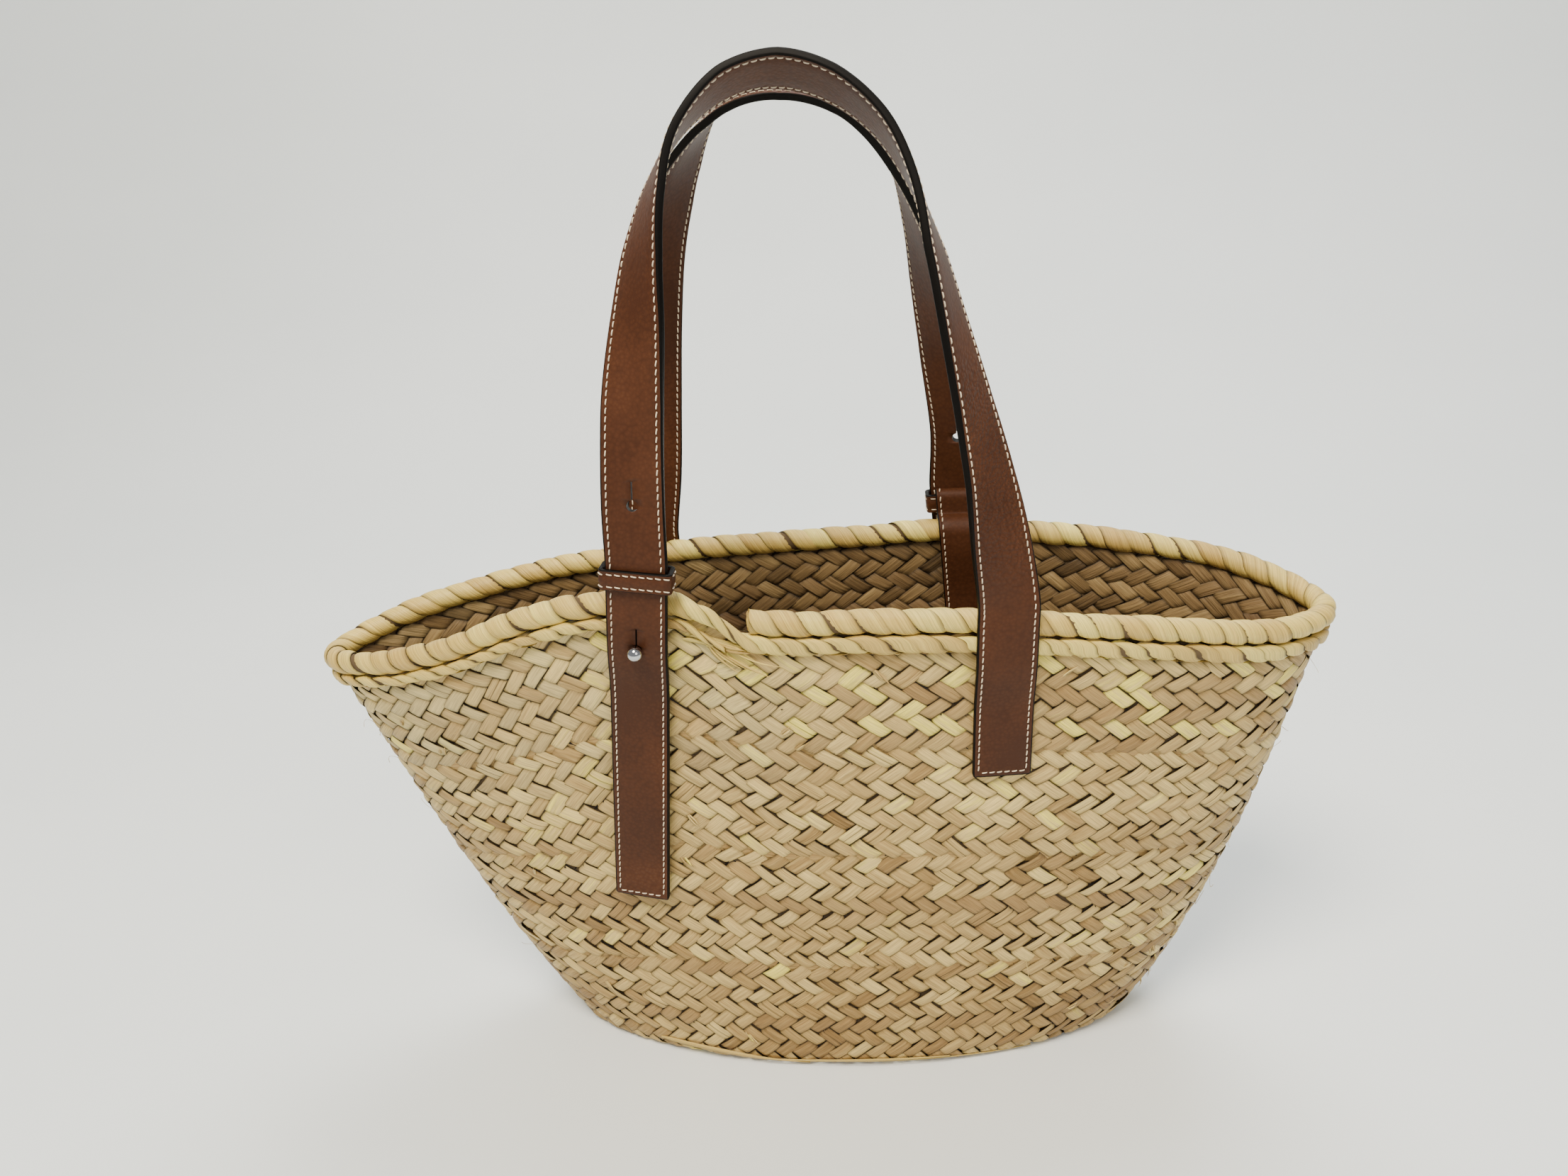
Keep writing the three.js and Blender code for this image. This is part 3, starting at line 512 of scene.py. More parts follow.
def weave(name, rows, counts, face, along_steps, across_steps, material, pale_chance=0.02):
    """One face of the plaited wall. face is 1 outside and -1 inside."""
    tile_rows = np.concatenate([np.full(counts[r], r) for r in rows]).astype(float)
    tile_counts = np.concatenate([np.full(counts[r], counts[r]) for r in rows])
    leans = np.where(tile_rows % 2 == 0, 1.0, -1.0)
    u = np.concatenate([np.arange(counts[r]) for r in rows]) + 0.25 * leans
    tiles = len(u)
    tone, blush, sage = tile_colours(u, tile_rows, tile_counts, leans, pale_chance)

    even = np.linspace(-1, 1, along_steps)
    stretched = np.sign(even) * np.abs(even) ** 0.55
    a, b = np.meshgrid(stretched * TILE_OVERRUN, np.linspace(-1, 1, across_steps), indexing="ij")
    a, b = a[None], b[None]
    each = lambda spread, middle=0.0: (middle + spread * dice.standard_normal(tiles))[:, None, None]
    wide = np.clip(each(0.05, 1.04), 0.9, 1.16)
    bowed = b + each(0.07) * (1 - a**2)
    lean = leans[:, None, None]
    long_way, wide_way = 0.5 * a * np.clip(each(0.02, 1.0), 0.95, 1.05), 0.25 * bowed * wide * lean
    u_at = u[:, None, None] + lean * (long_way - wide_way) + each(0.022)
    row_at = tile_rows[:, None, None] + 0.5 + long_way + wide_way + each(0.022) + each(0.025) * a

    slope_end = ease((np.abs(a) - 0.86) / 0.34)
    lift = TILE_CROWN - 0.42 * b**2 - 0.5 * a**2 - END_DIVE * slope_end
    lift = lift + each(0.14) + each(0.28) * b + each(0.2) * a + each(0.1) * np.cos(3 * a) * (1 - b**2)
    angle = angle_round(u_at / tile_counts[:, None, None], np.minimum(row_at, WALL_ROWS))
    points = skin(angle, np.minimum(row_at, WALL_ROWS), face * lift)

    uv = np.stack(
        [a * TILE_LENGTH / 2 + 0 * b + 97 * dice.random(tiles)[:, None, None],
         b * STRIP_WIDTH / 2 + 0 * a + 89 * dice.random(tiles)[:, None, None]], axis=-1
    )
    # The across attribute carries the painted shade: darker at each tile's sides, and down the middle of a
    # split tile.
    split = (dice.random(tiles) < SPLIT_CHANCE)[:, None, None]
    side = np.where(split, np.abs(2 * np.abs(b) - 1), np.abs(b)) + 0 * a
    spread = np.ones_like(a * b)
    faces = grid_faces(along_steps, across_steps, tiles)
    return make_piece(
        name, points, faces[:, ::-1] if face > 0 else faces, uv,
        {"tone": tone[:, None, None] * spread, "blush": blush[:, None, None] * spread,
         "sage": sage[:, None, None] * spread, "across": side, "along": a * spread[None, 0] + 0 * side},
        [material],
    )


print("a tile stands", TILE_CROWN - WALL / 2, "mm proud of the wall's outer face at its crown")

# %% [markdown]
# ## Weaving the wall, the floor and the base
#
# The outside face gets finer tiles, because it is what the eye rests on. The inside face is the same weave
# seen from behind, in darker colours that are painted shade. A dark sheet between the two stands for the
# strips that lie under the tiles, and closes the small holes where four tiles meet; its dark colour is
# painted shade. Between two braids the number of tiles changes, so their ends don't match there: a narrow
# strip of leaf behind each of those joints stands for the leaf that sews the braids together.

# %% Weave both faces
LOWEST_ROW = -7
OUTSIDE_BANDS = [(-1, 6, 9.6), (7, 14, 10.0), (15, 21, 10.3), (22, 28, 10.6)]
wall_rows = list(range(-1, WALL_ROWS))
base_rows = list(range(LOWEST_ROW, -1))
counts = row_counts(wall_rows + base_rows, OUTSIDE_BANDS)
woven_wall = weave("woven_wall", wall_rows, counts, 1, 9, 5, LEAF_OUTSIDE)
woven_base = weave("woven_base", base_rows, counts, 1, 6, 4, LEAF_OUTSIDE)
woven_inside = weave("woven_inside", wall_rows + base_rows, counts, -1, 6, 4, LEAF_INSIDE_SHADED, 0.0)

# %% Close the weave with its hidden strips, drawn in painted shade
SHEET_STEPS, SHEET_LEVELS = 180, 48
SHEET_HALF_THICKNESS = 0.35
around = np.linspace(0, 2 * math.pi, SHEET_STEPS, endpoint=False)
level = np.ones(SHEET_STEPS)
down_outside = np.linspace(WALL_ROWS, -CORNER_ROWS - BASE_ROWS, SHEET_LEVELS)
sheet = [skin(around, row * level, SHEET_HALF_THICKNESS * level) for row in down_outside]
sheet += [skin(around, row * level, -SHEET_HALF_THICKNESS * level) for row in down_outside[::-1]]
sheet = np.stack(sheet)
hidden_strips = make_piece(
    "hidden_strips", sheet, grid_faces(len(sheet), SHEET_STEPS, 1, True), np.zeros(sheet[..., :2].shape),
    {"tone": np.full(sheet[..., 0].shape, 0.5)}, [SHADED_CORE_LEAF],
)

# %% Back the seams between the braids
SEAM_STEPS = 481
SEAM_HALF_ROWS = 0.42
seam_rows_up = np.array([first for first, _, _ in OUTSIDE_BANDS[1:]], float)[:, None, None]
seam_angles = np.linspace(0, 2 * math.pi, SEAM_STEPS)[None, :, None]
seam_across = np.array([-1.0, 0.0, 1.0])[None, None, :]
waver = 0.16 * np.sin(23 * seam_angles + seam_rows_up) + 0.1 * np.sin(57 * seam_angles + 2 * seam_rows_up)
seam_row = seam_rows_up + SEAM_HALF_ROWS * seam_across + 0.1 * waver
seam_lift = 1.0 + waver - 0.25 * seam_across**2 + 0 * seam_row
seam_backing = make_piece(
    "seam_backing", skin(seam_angles + 0 * seam_row, seam_row, seam_lift),
    grid_faces(SEAM_STEPS, 3, len(seam_rows_up))[:, ::-1],
    np.stack([seam_angles * 150 + 0 * seam_row, seam_across * 3.3 + 0 * seam_row], axis=-1),
    {"tone": 0.3 + 0 * seam_row, "blush": 0.5 + 0 * seam_row}, [LEAF_OUTSIDE],
)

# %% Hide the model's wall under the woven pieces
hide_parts("basket_body")
print("tiles outside:", sum(counts[r] for r in wall_rows))

# %% [markdown]
# ## The wrapped rim
#
# A cord of leaf rolls round the wall's top edge, and a leaf is wound about it at a slant, a turn every
# centimetre or so. At the front it drops past its own cut start and goes round a second time as a flat
# band under itself. It could be one tube with a bumpy shader, but the wraps overlap like roof tiles, so
# each wrap is its own patch, wound once round the section, with a bulge in its middle and one edge over its
# neighbour.

# %% Lay out the path of the rim
ROLL, BAND_HEIGHT, BAND_THICKNESS = 10, 7, 3.5
ROLL_CENTRE = GAP + ROLL / 2
BINDING_START_ANGLE = 263.4
BINDING_TURN = (0, 0.978, 0.987, 1.0, 1.65, 1.8, 1.978, 1.992)
BINDING_OUT = (0, 0, 1, 1, 1, 1, 1, 1)
BINDING_DOWN = (0, 0, 0, 1, 1, 1, 1, 2)
BINDING_SLIM = (0, 0, 0.75, 1, 1, 1, 1, 1)
BINDING_TALL = (1, 1, 1, 1, 1, 0.65, 0.65, 0.4)


def eased(values, turn):
    low = np.clip(np.searchsorted(BINDING_TURN, turn, side="right") - 1, 0, len(BINDING_TURN) - 2)
    places, values = np.array(BINDING_TURN), np.array(values, float)
    share = (turn - places[low]) / (places[low + 1] - places[low])
    return mix(values[low], values[low + 1], ease(share))


def rim_section(turn):
    """Middle, up and out directions, and half height and half thickness of the rim's cord."""
    angle = math.radians(BINDING_START_ANGLE) + 2 * math.pi * turn
    _, up, out = wall_frame(angle, np.ones_like(turn))
    slim = eased(BINDING_SLIM, turn)
    thick = mix(ROLL, BAND_THICKNESS, slim)
    band_tall = BAND_HEIGHT * eased(BINDING_TALL, turn)
    tall = mix(ROLL, band_tall, slim)
    down = eased(BINDING_DOWN, turn)
    first_drop = mix(ROLL_CENTRE, -band_tall / 2, down)
    second_drop = mix(-band_tall / 2, -BAND_HEIGHT - GAP - band_tall / 2, down - 1)
    lane = np.where(down < 1, first_drop, second_drop)
    beside = eased(BINDING_OUT, turn) * (WALL / 2 + GAP + thick / 2)
    middle = wall_point(angle, np.ones_like(turn)) + up * lane[..., None] + out * beside[..., None]
    return middle, up, out, tall / 2, thick / 2, slim


fine_turns = np.linspace(0, BINDING_TURN[-1], 4001)
path = rim_section(fine_turns)[0]
rim_travel = np.concatenate([[0], np.cumsum(np.linalg.norm(np.diff(path, axis=0), axis=1))])
print("length of the rim's cord, mm:", round(rim_travel[-1]))

# %% Wind the leaf round it
WRAP_PITCH = 10.8
WRAP_SLANT = 18.0
WRAP_ROUND, WRAP_ACROSS = 19, 6
EXTRA_WRAPS = 3
wraps = int(rim_travel[-1] / WRAP_PITCH) + EXTRA_WRAPS
wrap_middles = (np.arange(wraps) - 0.8) * WRAP_PITCH + dice.normal(0, 0.5, wraps)
wound, w = np.meshgrid(np.linspace(0, 1, WRAP_ROUND), np.linspace(-1, 1, WRAP_ACROSS), indexing="ij")
wound, w = wound[None], w[None]
half_wide = (WRAP_PITCH * 0.57 + dice.normal(0, 0.35, wraps))[:, None, None]
twist = (WRAP_SLANT + dice.normal(0, 2.2, wraps))[:, None, None]
at = wrap_middles[:, None, None] - twist * (wound - 0.5) + w * half_wide
wrap_turn = np.interp(np.clip(at, 0, rim_travel[-1]), rim_travel, fine_turns)
middle, up, out, half_tall, half_thick, slim = rim_section(wrap_turn)
phi = 2 * math.pi * (wound * 1.02 - 0.26) + 0 * w
proud = 0.5 - 0.75 * np.abs(w) ** 3 - 0.45 * np.clip(-w, 0, 1) ** 2 + 0.25 * w
proud = proud - 0.6 * np.abs(w) ** 3 * np.clip(-np.sin(2 * math.pi * (wound - 0.26)), 0, 1)
proud = proud + dice.normal(0, 0.16, wraps)[:, None, None] - 0.1 * slim
wave_height = dice.normal(0, 0.14, wraps)[:, None, None]
proud = proud + wave_height * np.sin(6.3 * wound + 9 * dice.random(wraps)[:, None, None])
flatter = mix(1.0, 0.62, slim)
round_out = np.sign(np.cos(phi)) * np.abs(np.cos(phi)) ** flatter
round_up = np.sign(np.sin(phi)) * np.abs(np.sin(phi)) ** flatter
points = (
    middle + out * ((half_thick - 0.15 + proud) * round_out)[..., None]
    + up * ((half_tall - 0.15 + proud) * round_up)[..., None]
)
WRAP_LENGTH = 30
uv = np.stack([wound * WRAP_LENGTH + 91 * dice.random(wraps)[:, None, None] + 0 * w,
               w * half_wide + 83 * dice.random(wraps)[:, None, None] + 0 * wound], axis=-1)
spread = np.ones_like(points[..., 0])
# The across attribute puts the leaf's painted shade on each wrap's edges, where it lies under its neighbour.
wrapped_rim = make_piece(
    "wrapped_rim", points, grid_faces(WRAP_ROUND, WRAP_ACROSS, wraps), uv,
    {"tone": np.clip(0.6 + 0.16 * dice.standard_normal(wraps), 0.1, 1)[:, None, None] * spread,
     "blush": np.clip(0.2 + 0.25 * dice.standard_normal(wraps), 0, 1)[:, None, None] * spread,
     "across": np.sign(w) * np.abs(w) ** 0.6 * spread},
    [LEAF_BINDING],
)
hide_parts("rim_binding")

# %% Cap the cut start of the roll
CAP_RINGS, CAP_STEPS = 9, 28
middle, up, out, half_tall, half_thick, _ = rim_section(np.zeros(1))
backwards = unit(path[0] - path[20])
ring, phi = np.meshgrid(
    np.linspace(0, 1, CAP_RINGS), np.linspace(0, 2 * math.pi, CAP_STEPS, endpoint=False), indexing="ij"
)
folds = 0.25 * np.sin(5 * phi + 9 * ring) * ring
bulge = 1.3 * np.sqrt(np.maximum(1 - ring**2.5, 0)) + folds - 0.2
cap = (
    middle + out * (half_thick * 1.02 * ring * np.cos(phi))[..., None]
    + up * (half_tall * 1.02 * ring * np.sin(phi))[..., None] + backwards * bulge[..., None]
)
cut_start = make_piece(
    "cut_start", cap, grid_faces(CAP_RINGS, CAP_STEPS, 1, True),
    np.stack([ring * 5, 3 * np.sin(2 * phi)], axis=-1),
    {"tone": 0.45 + 0.2 * np.sin(3 * phi + 7 * ring), "blush": 0.3 + 0 * ring}, [LEAF_BINDING],
)

# %% Fill the cord under the wraps
# The cord is drawn in the dark core leaf: painted shade, seen in the gaps between the wraps.
CORD_RINGS, CORD_STEPS = 700, 10
UNDER_WRAPS = 0.55
core_turns = np.linspace(0, BINDING_TURN[-1], CORD_RINGS)
middle, up, out, half_tall, half_thick, _ = rim_section(core_turns)
phi = np.linspace(0, 2 * math.pi, CORD_STEPS, endpoint=False)
core = (
    middle[:, None] + out[:, None] * ((half_thick - UNDER_WRAPS)[:, None] * np.cos(phi))[..., None]
    + up[:, None] * ((half_tall - UNDER_WRAPS)[:, None] * np.sin(phi))[..., None]
)
rim_cord = make_piece(
    "rim_cord", core, grid_faces(CORD_RINGS, CORD_STEPS, 1, True)[:, ::-1], np.zeros(core[..., :2].shape),
    {"tone": np.full(core[..., 0].shape, 0.9)}, [SHADED_CORE_LEAF],
)

# %% [markdown]
# ## Leather, edge paint, thread and chrome
#
# The straps are cowhide, tanned, embossed with a fine pebble grain and finished satin. Grain is a field of
# small rounded cells, which is what a Voronoi texture draws; a softer noise makes some patches smoother
# than others, as on a hide that has been carried. The cut edges are sealed with black edge paint, the seams
# are waxed thread, and the studs are plated metal. Each is a material of its own, because each throws light
# back in its own way. A scale is how many cells a metre holds, so it is written as one over a size.

# %% Make the leather
# Real pebbles are about a millimetre across. They are drawn 1.5 mm wide, a little coarser, so that they show.
PEBBLE, PORE = 1.5 * MM, 0.45 * MM
HIDE_PATCHES_PER_MM = 0.022
GRAIN_RELIEF = 0.3 * MM


def cowhide(name, colours, grain_height, roughness):
    hide = new_material(name)
    place = add_node(hide, "ShaderNodeTexCoord").outputs["Object"]
    cells = add_node(
        hide, "ShaderNodeTexVoronoi", {"feature": "SMOOTH_F1"}, Vector=place, Scale=1 / PEBBLE, Smoothness=0.3
    ).outputs["Distance"]
    fine = add_node(hide, "ShaderNodeTexNoise", Vector=place, Scale=1 / PORE, Detail=2.0).outputs["Fac"]
    slow = add_node(
        hide, "ShaderNodeTexNoise", Vector=place, Scale=HIDE_PATCHES_PER_MM / MM, Detail=3.0
    ).outputs["Fac"]
    tint = add_node(
        hide, "ShaderNodeMath", {"operation": "MULTIPLY_ADD"}, in0=cells, in1=-0.3, in2=slow
    ).outputs[0]
    whole = add_node(hide, "ShaderNodeValToRGB", {"stops": colours}, Fac=tint).outputs["Color"]
    scuff = add_node(hide, "ShaderNodeAttribute", {"attribute_name": "scuff"}).outputs["Fac"]
    torn = add_node(
        hide, "ShaderNodeMath", {"operation": "MULTIPLY_ADD"}, in0=fine, in1=0.4, in2=scuff
    ).outputs[0]
    bare = add_node(
        hide, "ShaderNodeMapRange", Value=torn, From_Min=1.02, From_Max=1.16, To_Min=0, To_Max=0.8
    ).outputs[0]
    colour = add_node(
        hide, "ShaderNodeMix", {"data_type": "RGBA"}, in0=bare, in6=whole, in7=linear("#a5805f")
    ).outputs[2]
    patch = add_node(
        hide, "ShaderNodeMapRange", Value=slow, From_Min=0.4, From_Max=0.62, To_Min=0.3, To_Max=0.8
    ).outputs[0]
    pebbled = add_node(hide, "ShaderNodeAttribute", {"attribute_name": "pebble"}).outputs["Fac"]
    depth = add_node(
        hide, "ShaderNodeMath", {"operation": "MULTIPLY_ADD"}, in0=pebbled, in1=5.0, in2=patch
    ).outputs[0]
    grain = add_node(hide, "ShaderNodeMath", {"operation": "MULTIPLY"}, in0=cells, in1=depth).outputs[0]
    height = add_node(
        hide, "ShaderNodeMath", {"operation": "MULTIPLY_ADD"}, in0=fine, in1=0.35, in2=grain
    ).outputs[0]
    bump = add_node(
        hide, "ShaderNodeBump", {"invert": True}, Strength=grain_height, Distance=GRAIN_RELIEF, Height=height
    ).outputs["Normal"]
    shine = add_node(
        hide, "ShaderNodeMapRange", Value=slow,
        From_Min=0.3, From_Max=0.7, To_Min=roughness - 0.06, To_Max=roughness + 0.08,
    ).outputs[0]
    shader = add_node(
        hide, "ShaderNodeBsdfPrincipled",
        Base_Color=colour, Roughness=shine, IOR=1.5, Specular_IOR_Level=0.16, Normal=bump,
    )
    add_node(hide, "ShaderNodeOutputMaterial", Surface=shader.outputs["BSDF"])
    return hide


# Embossed cowhide: a deep red-brown with a satin sheen that breaks up over the pebbles.
LEATHER = cowhide("embossed_cowhide", [(0.2, "#3c2112"), (0.45, "#482917"), (0.75, "#583520")], 0.45, 0.52)
print("leather:", LEATHER.name, "with pebbles of", round(PEBBLE / MM, 2), "mm")

# %% Make the edge paint, the thread and the chrome
# Edge paint: an acrylic laid on in coats. It is nearly black, with faint unevenness and little shine.
GRIME_PER_MM = 0.9
EDGE_PAINT = new_material("black_edge_paint")
grime = add_node(EDGE_PAINT, "ShaderNodeTexNoise", Scale=GRIME_PER_MM / MM, Detail=2.0).outputs["Fac"]
edge_colour = add_node(
    EDGE_PAINT, "ShaderNodeValToRGB", {"stops": [(0.3, "#050403"), (0.8, "#0d0a08")]}, Fac=grime
).outputs["Color"]
edge_bump = add_node(
    EDGE_PAINT, "ShaderNodeBump", Strength=0.2, Distance=0.2 * MM, Height=grime
).outputs["Normal"]
edge_shader = add_node(
    EDGE_PAINT, "ShaderNodeBsdfPrincipled",
    Base_Color=edge_colour, Roughness=0.5, Specular_IOR_Level=0.1, Normal=edge_bump,
)
add_node(EDGE_PAINT, "ShaderNodeOutputMaterial", Surface=edge_shader.outputs["BSDF"])

# Waxed linen thread: twisted, then waxed, so it is pale and dull. Its plies are drawn 0.4 mm apart.
PLY = 0.4 * MM
THREAD = new_material("waxed_linen_thread")
plies = add_node(THREAD, "ShaderNodeTexNoise", Scale=1 / PLY, Detail=2.0).outputs["Fac"]
thread_colour = add_node(
    THREAD, "ShaderNodeValToRGB", {"stops": [(0.3, "#c2af93"), (0.7, "#e2d3b9")]}, Fac=plies
).outputs["Color"]
thread_bump = add_node(
    THREAD, "ShaderNodeBump", Strength=0.4, Distance=0.1 * MM, Height=plies
).outputs["Normal"]
thread_shader = add_node(
    THREAD, "ShaderNodeBsdfPrincipled", Base_Color=thread_colour, Roughness=0.6, Normal=thread_bump
)
add_node(THREAD, "ShaderNodeOutputMaterial", Surface=thread_shader.outputs["BSDF"])

# Chromed brass: polished, then plated. It mirrors the room, a little duller where fingers touch it.
SMUDGES_PER_MM = 0.35
CHROME = new_material("chromed_brass")
smudge = add_node(CHROME, "ShaderNodeTexNoise", Scale=SMUDGES_PER_MM / MM, Detail=3.0).outputs["Fac"]
chrome_shine = add_node(
    CHROME, "ShaderNodeMapRange", Value=smudge, From_Min=0.3, From_Max=0.7, To_Min=0.04, To_Max=0.1
).outputs[0]
chrome_shader = add_node(
    CHROME, "ShaderNodeBsdfPrincipled", Base_Color=linear("#b4b5b9"), Metallic=1.0, Roughness=chrome_shine
)
add_node(CHROME, "ShaderNodeOutputMaterial", Surface=chrome_shader.outputs["BSDF"])
print("trimmings:", EDGE_PAINT.name, THREAD.name, CHROME.name)

# %% [markdown]
# ## The path of a strap
#
# Each strap is one flat ribbon. It starts at its loose end on the wall, climbs over the binding, turns a
# third of a turn as it arches over, and comes down to its sewn end. Its path goes through stations on the
# wall and in the arch, and a Catmull-Rom curve, which passes through all its points, joins them. At each
# point the ribbon needs three directions: along it, out of its face, and across it.

# %% Name the sizes of the leather pieces
STRAP_WIDTH, STRAP_THICKNESS = 25, 3.2
HANDLE_SPREAD, HANDLES_APART, ARCH_TURN = 144, 2, 121
LOOSE_END_BELOW_RIM, SEWN_END_BELOW_RIM, LOOSE_END_LEAN = 152.5, 77, 4.8
STUD_BELOW_RIM, HOLE_ABOVE_STUD, HOLE_DIAMETER, SLIT_LENGTH, SLIT_WIDTH = 21.5, 61, 4.5, 8, 0.6
TAB_WIDTH, TAB_THICKNESS, TAB_DOWN, TAB_ABOVE_LOOP = 20, 2.2, 77, 2.2
LOOP_HEIGHT, LOOP_THICKNESS = 8.8, 2
STUD_BALL, STUD_POST = 6.5, 3.2
DRAPE_LENGTH, STATION_STEP = 30, 7
LEG_ACROSS = {"loose": -0.4705, "sewn": 0.55}
SIDES = {
    "front": {"sign": -1, "top": 449, "foot": WALL_HEIGHT + 21, "middle": -11.9, "loop_lift": 2.5},
    "back": {"sign": 1, "top": 445, "foot": WALL_HEIGHT + 17, "middle": -10.2, "loop_lift": 0.5},
}
# Stations over the arch: across as a share of the spread, down and lean as shares of the arch, turn of one.
ARCH_ROWS = {
    "front": (
        (-0.462, 0.8, 0.96, 0.02), (-0.444, 0.6, 0.82, 0.1), (-0.42, 0.45, 0.67, 0.26),
        (-0.398, 0.32, 0.5, 0.42), (-0.359, 0.2, 0.34, 0.6), (-0.295, 0.098, 0.19, 0.78),
        (-0.172, 0.02, 0.05, 0.94), (-0.035, 0.0, 0.0, 1), (0.1, 0.03, 0.05, 0.98),
        (0.218, 0.1, 0.15, 0.9), (0.298, 0.2, 0.3, 0.79), (0.354, 0.33, 0.5, 0.64),
        (0.404, 0.48, 0.7, 0.55), (0.449, 0.62, 0.84, 0.46), (0.494, 0.77, 0.94, 0.34),
        (0.524, 0.9, 0.99, 0.18),
    ),
    "back": (
        (-0.462, 0.815, 0.96, 0.09), (-0.408, 0.6, 0.82, 0.34), (-0.367, 0.46, 0.67, 0.47),
        (-0.325, 0.325, 0.5, 0.6), (-0.264, 0.195, 0.34, 0.75), (-0.18, 0.085, 0.19, 0.89),
        (-0.095, 0.03, 0.08, 0.97), (0.048, 0.0, 0.0, 1), (0.18, 0.022, 0.05, 0.91),
        (0.262, 0.078, 0.17, 0.73),
        (0.341, 0.168, 0.3, 0.53), (0.392, 0.253, 0.42, 0.41), (0.437, 0.358, 0.58, 0.32),
        (0.478, 0.53, 0.77, 0.22), (0.507, 0.716, 0.92, 0.12), (0.531, 0.91, 0.99, 0.025),
    ),
}
print("stations over the arches:", {name: len(rows) for name, rows in ARCH_ROWS.items()})

# %% Find the stations of a strap
def angle_at(sign, x, height):
    """The wall's angle on one side at a given x and height, by halving."""
    low, high = np.zeros_like(x), np.full_like(x, math.pi)
    for _ in range(40):
        middle = (low + high) / 2
        beyond = wall_point(sign * middle, height / edge_height(sign * middle))[..., 0] > x
        low, high = np.where(beyond, middle, low), np.where(beyond, high, middle)
    return sign * (low + high) / 2


def drape(below, under):
    """How far a flat piece lies from the wall's middle: over the binding, then down to the wall."""
    return mix(ROLL / 2 + GAP + under, WALL / 2 + GAP + under, ease(below / DRAPE_LENGTH))


class Leg:
    """Where one leg of a strap crosses the rim, and the line that it follows down the wall."""

    def __init__(self, side, end):
        self.sign = side["sign"]
        self.x = side["middle"] - self.sign * LEG_ACROSS[end] * HANDLE_SPREAD
        at_rim = angle_at(self.sign, np.array([self.x]), np.array([float(WALL_HEIGHT)]))
        self.edge = float(edge_height(at_rim)[0])
        self.rim = self.edge + GAP + ROLL
        self.loop_foot = self.rim + GAP + TAB_THICKNESS + side["loop_lift"]
        self.lean = -self.sign * math.tan(math.radians(LOOSE_END_LEAN)) if end == "loose" else 0

    def at(self, height, offset):
        """Points offset out of the wall at heights, and the wall's directions there."""
        height, offset = np.broadcast_arrays(np.asarray(height, float), np.asarray(offset, float))
        x = self.x + self.lean * (height - self.rim)
        angle = angle_at(self.sign, x, height)
        share = height / edge_height(angle)
        around, _, out = wall_frame(angle, np.minimum(share, 1))
        return wall_point(angle, share) + out * offset[..., None], around, out


def strap_stations(name):
    side = SIDES[name]
    loose, sewn = Leg(side, "loose"), Leg(side, "sewn")

    def down_the_wall(leg, below, top, under):
        count = round((top - leg.rim + below) / STATION_STEP)
        height = np.linspace(leg.rim - below, top, count + 1)
        below_band = leg.edge - BAND_HEIGHT - GAP - height
        point, _, out = leg.at(height, drape(below_band, under) + STRAP_THICKNESS / 2)
        return point, out, np.zeros(count + 1)

    tab_top = loose.loop_foot + LOOP_HEIGHT + TAB_ABOVE_LOOP + GAP
    first = down_the_wall(loose, LOOSE_END_BELOW_RIM, tab_top, TAB_THICKNESS + GAP)
    last = [part[::-1] for part in down_the_wall(sewn, SEWN_END_BELOW_RIM, sewn.rim + ROLL / 2, 0)]
    tilt = math.radians(ARCH_TURN - 90)
    top_y = STRAP_WIDTH / 2 * math.cos(tilt) + STRAP_THICKNESS / 2 * math.sin(tilt) + HANDLES_APART / 2
    leg_y = abs(first[0][-1, 1] + last[0][0, 1]) / 2
    across, down, lean, turned = np.array(ARCH_ROWS[name]).T
    arch = np.stack(
        [side["middle"] - side["sign"] * across * HANDLE_SPREAD, side["sign"] * mix(top_y, leg_y, lean),
         mix(side["top"], side["foot"], down)], axis=-1
    )
    arch_out = np.tile((0.0, side["sign"], 0.0), (len(arch), 1))
    return [np.concatenate(parts) for parts in zip(first, (arch, arch_out, turned), last)]


stations = {name: strap_stations(name) for name in SIDES}
print("stations of each strap:", {name: len(parts[0]) for name, parts in stations.items()})

# %% Turn stations into an even run of frames
def catmull_rom(stations, samples):
    """Points and places of a centripetal Catmull-Rom curve through the stations."""
    padded = np.concatenate([[2 * stations[0] - stations[1]], stations, [2 * stations[-1] - stations[-2]]])
    knots = np.linalg.norm(np.diff(padded, axis=0), axis=1) ** 0.5
    p0, p1, p2, p3 = padded[:-3], padded[1:-2], padded[2:-1], padded[3:]
    d0, d1, d2 = knots[:-2, None], knots[1:-1, None], knots[2:, None]
    slope1 = ((p1 - p0) / d0 - (p2 - p0) / (d0 + d1) + (p2 - p1) / d1) * d1
    slope2 = ((p2 - p1) / d1 - (p3 - p1) / (d1 + d2) + (p3 - p2) / d2) * d1
    t = np.linspace(0, 1, samples, endpoint=False)[None, :, None]
    p1, p2, slope1, slope2 = p1[:, None], p2[:, None], slope1[:, None], slope2[:, None]
    points = (
        (2 * t**3 - 3 * t**2 + 1) * p1 + (t**3 - 2 * t**2 + t) * slope1
        + (3 * t**2 - 2 * t**3) * p2 + (t**3 - t**2) * slope2
    ).reshape(-1, 3)
    places = (np.arange(len(stations) - 1)[:, None] + t[..., 0]).ravel()
    return np.concatenate([points, stations[-1:]]), np.concatenate([places, [len(stations) - 1]])


def rotate(vectors, axes, angles):
    """Turns each vector about its unit axis."""
    c, s = np.cos(angles)[:, None], np.sin(angles)[:, None]
    along = np.sum(vectors * axes, axis=1, keepdims=True)
    return vectors * c + np.cross(axes, vectors) * s + axes * along * (1 - c)


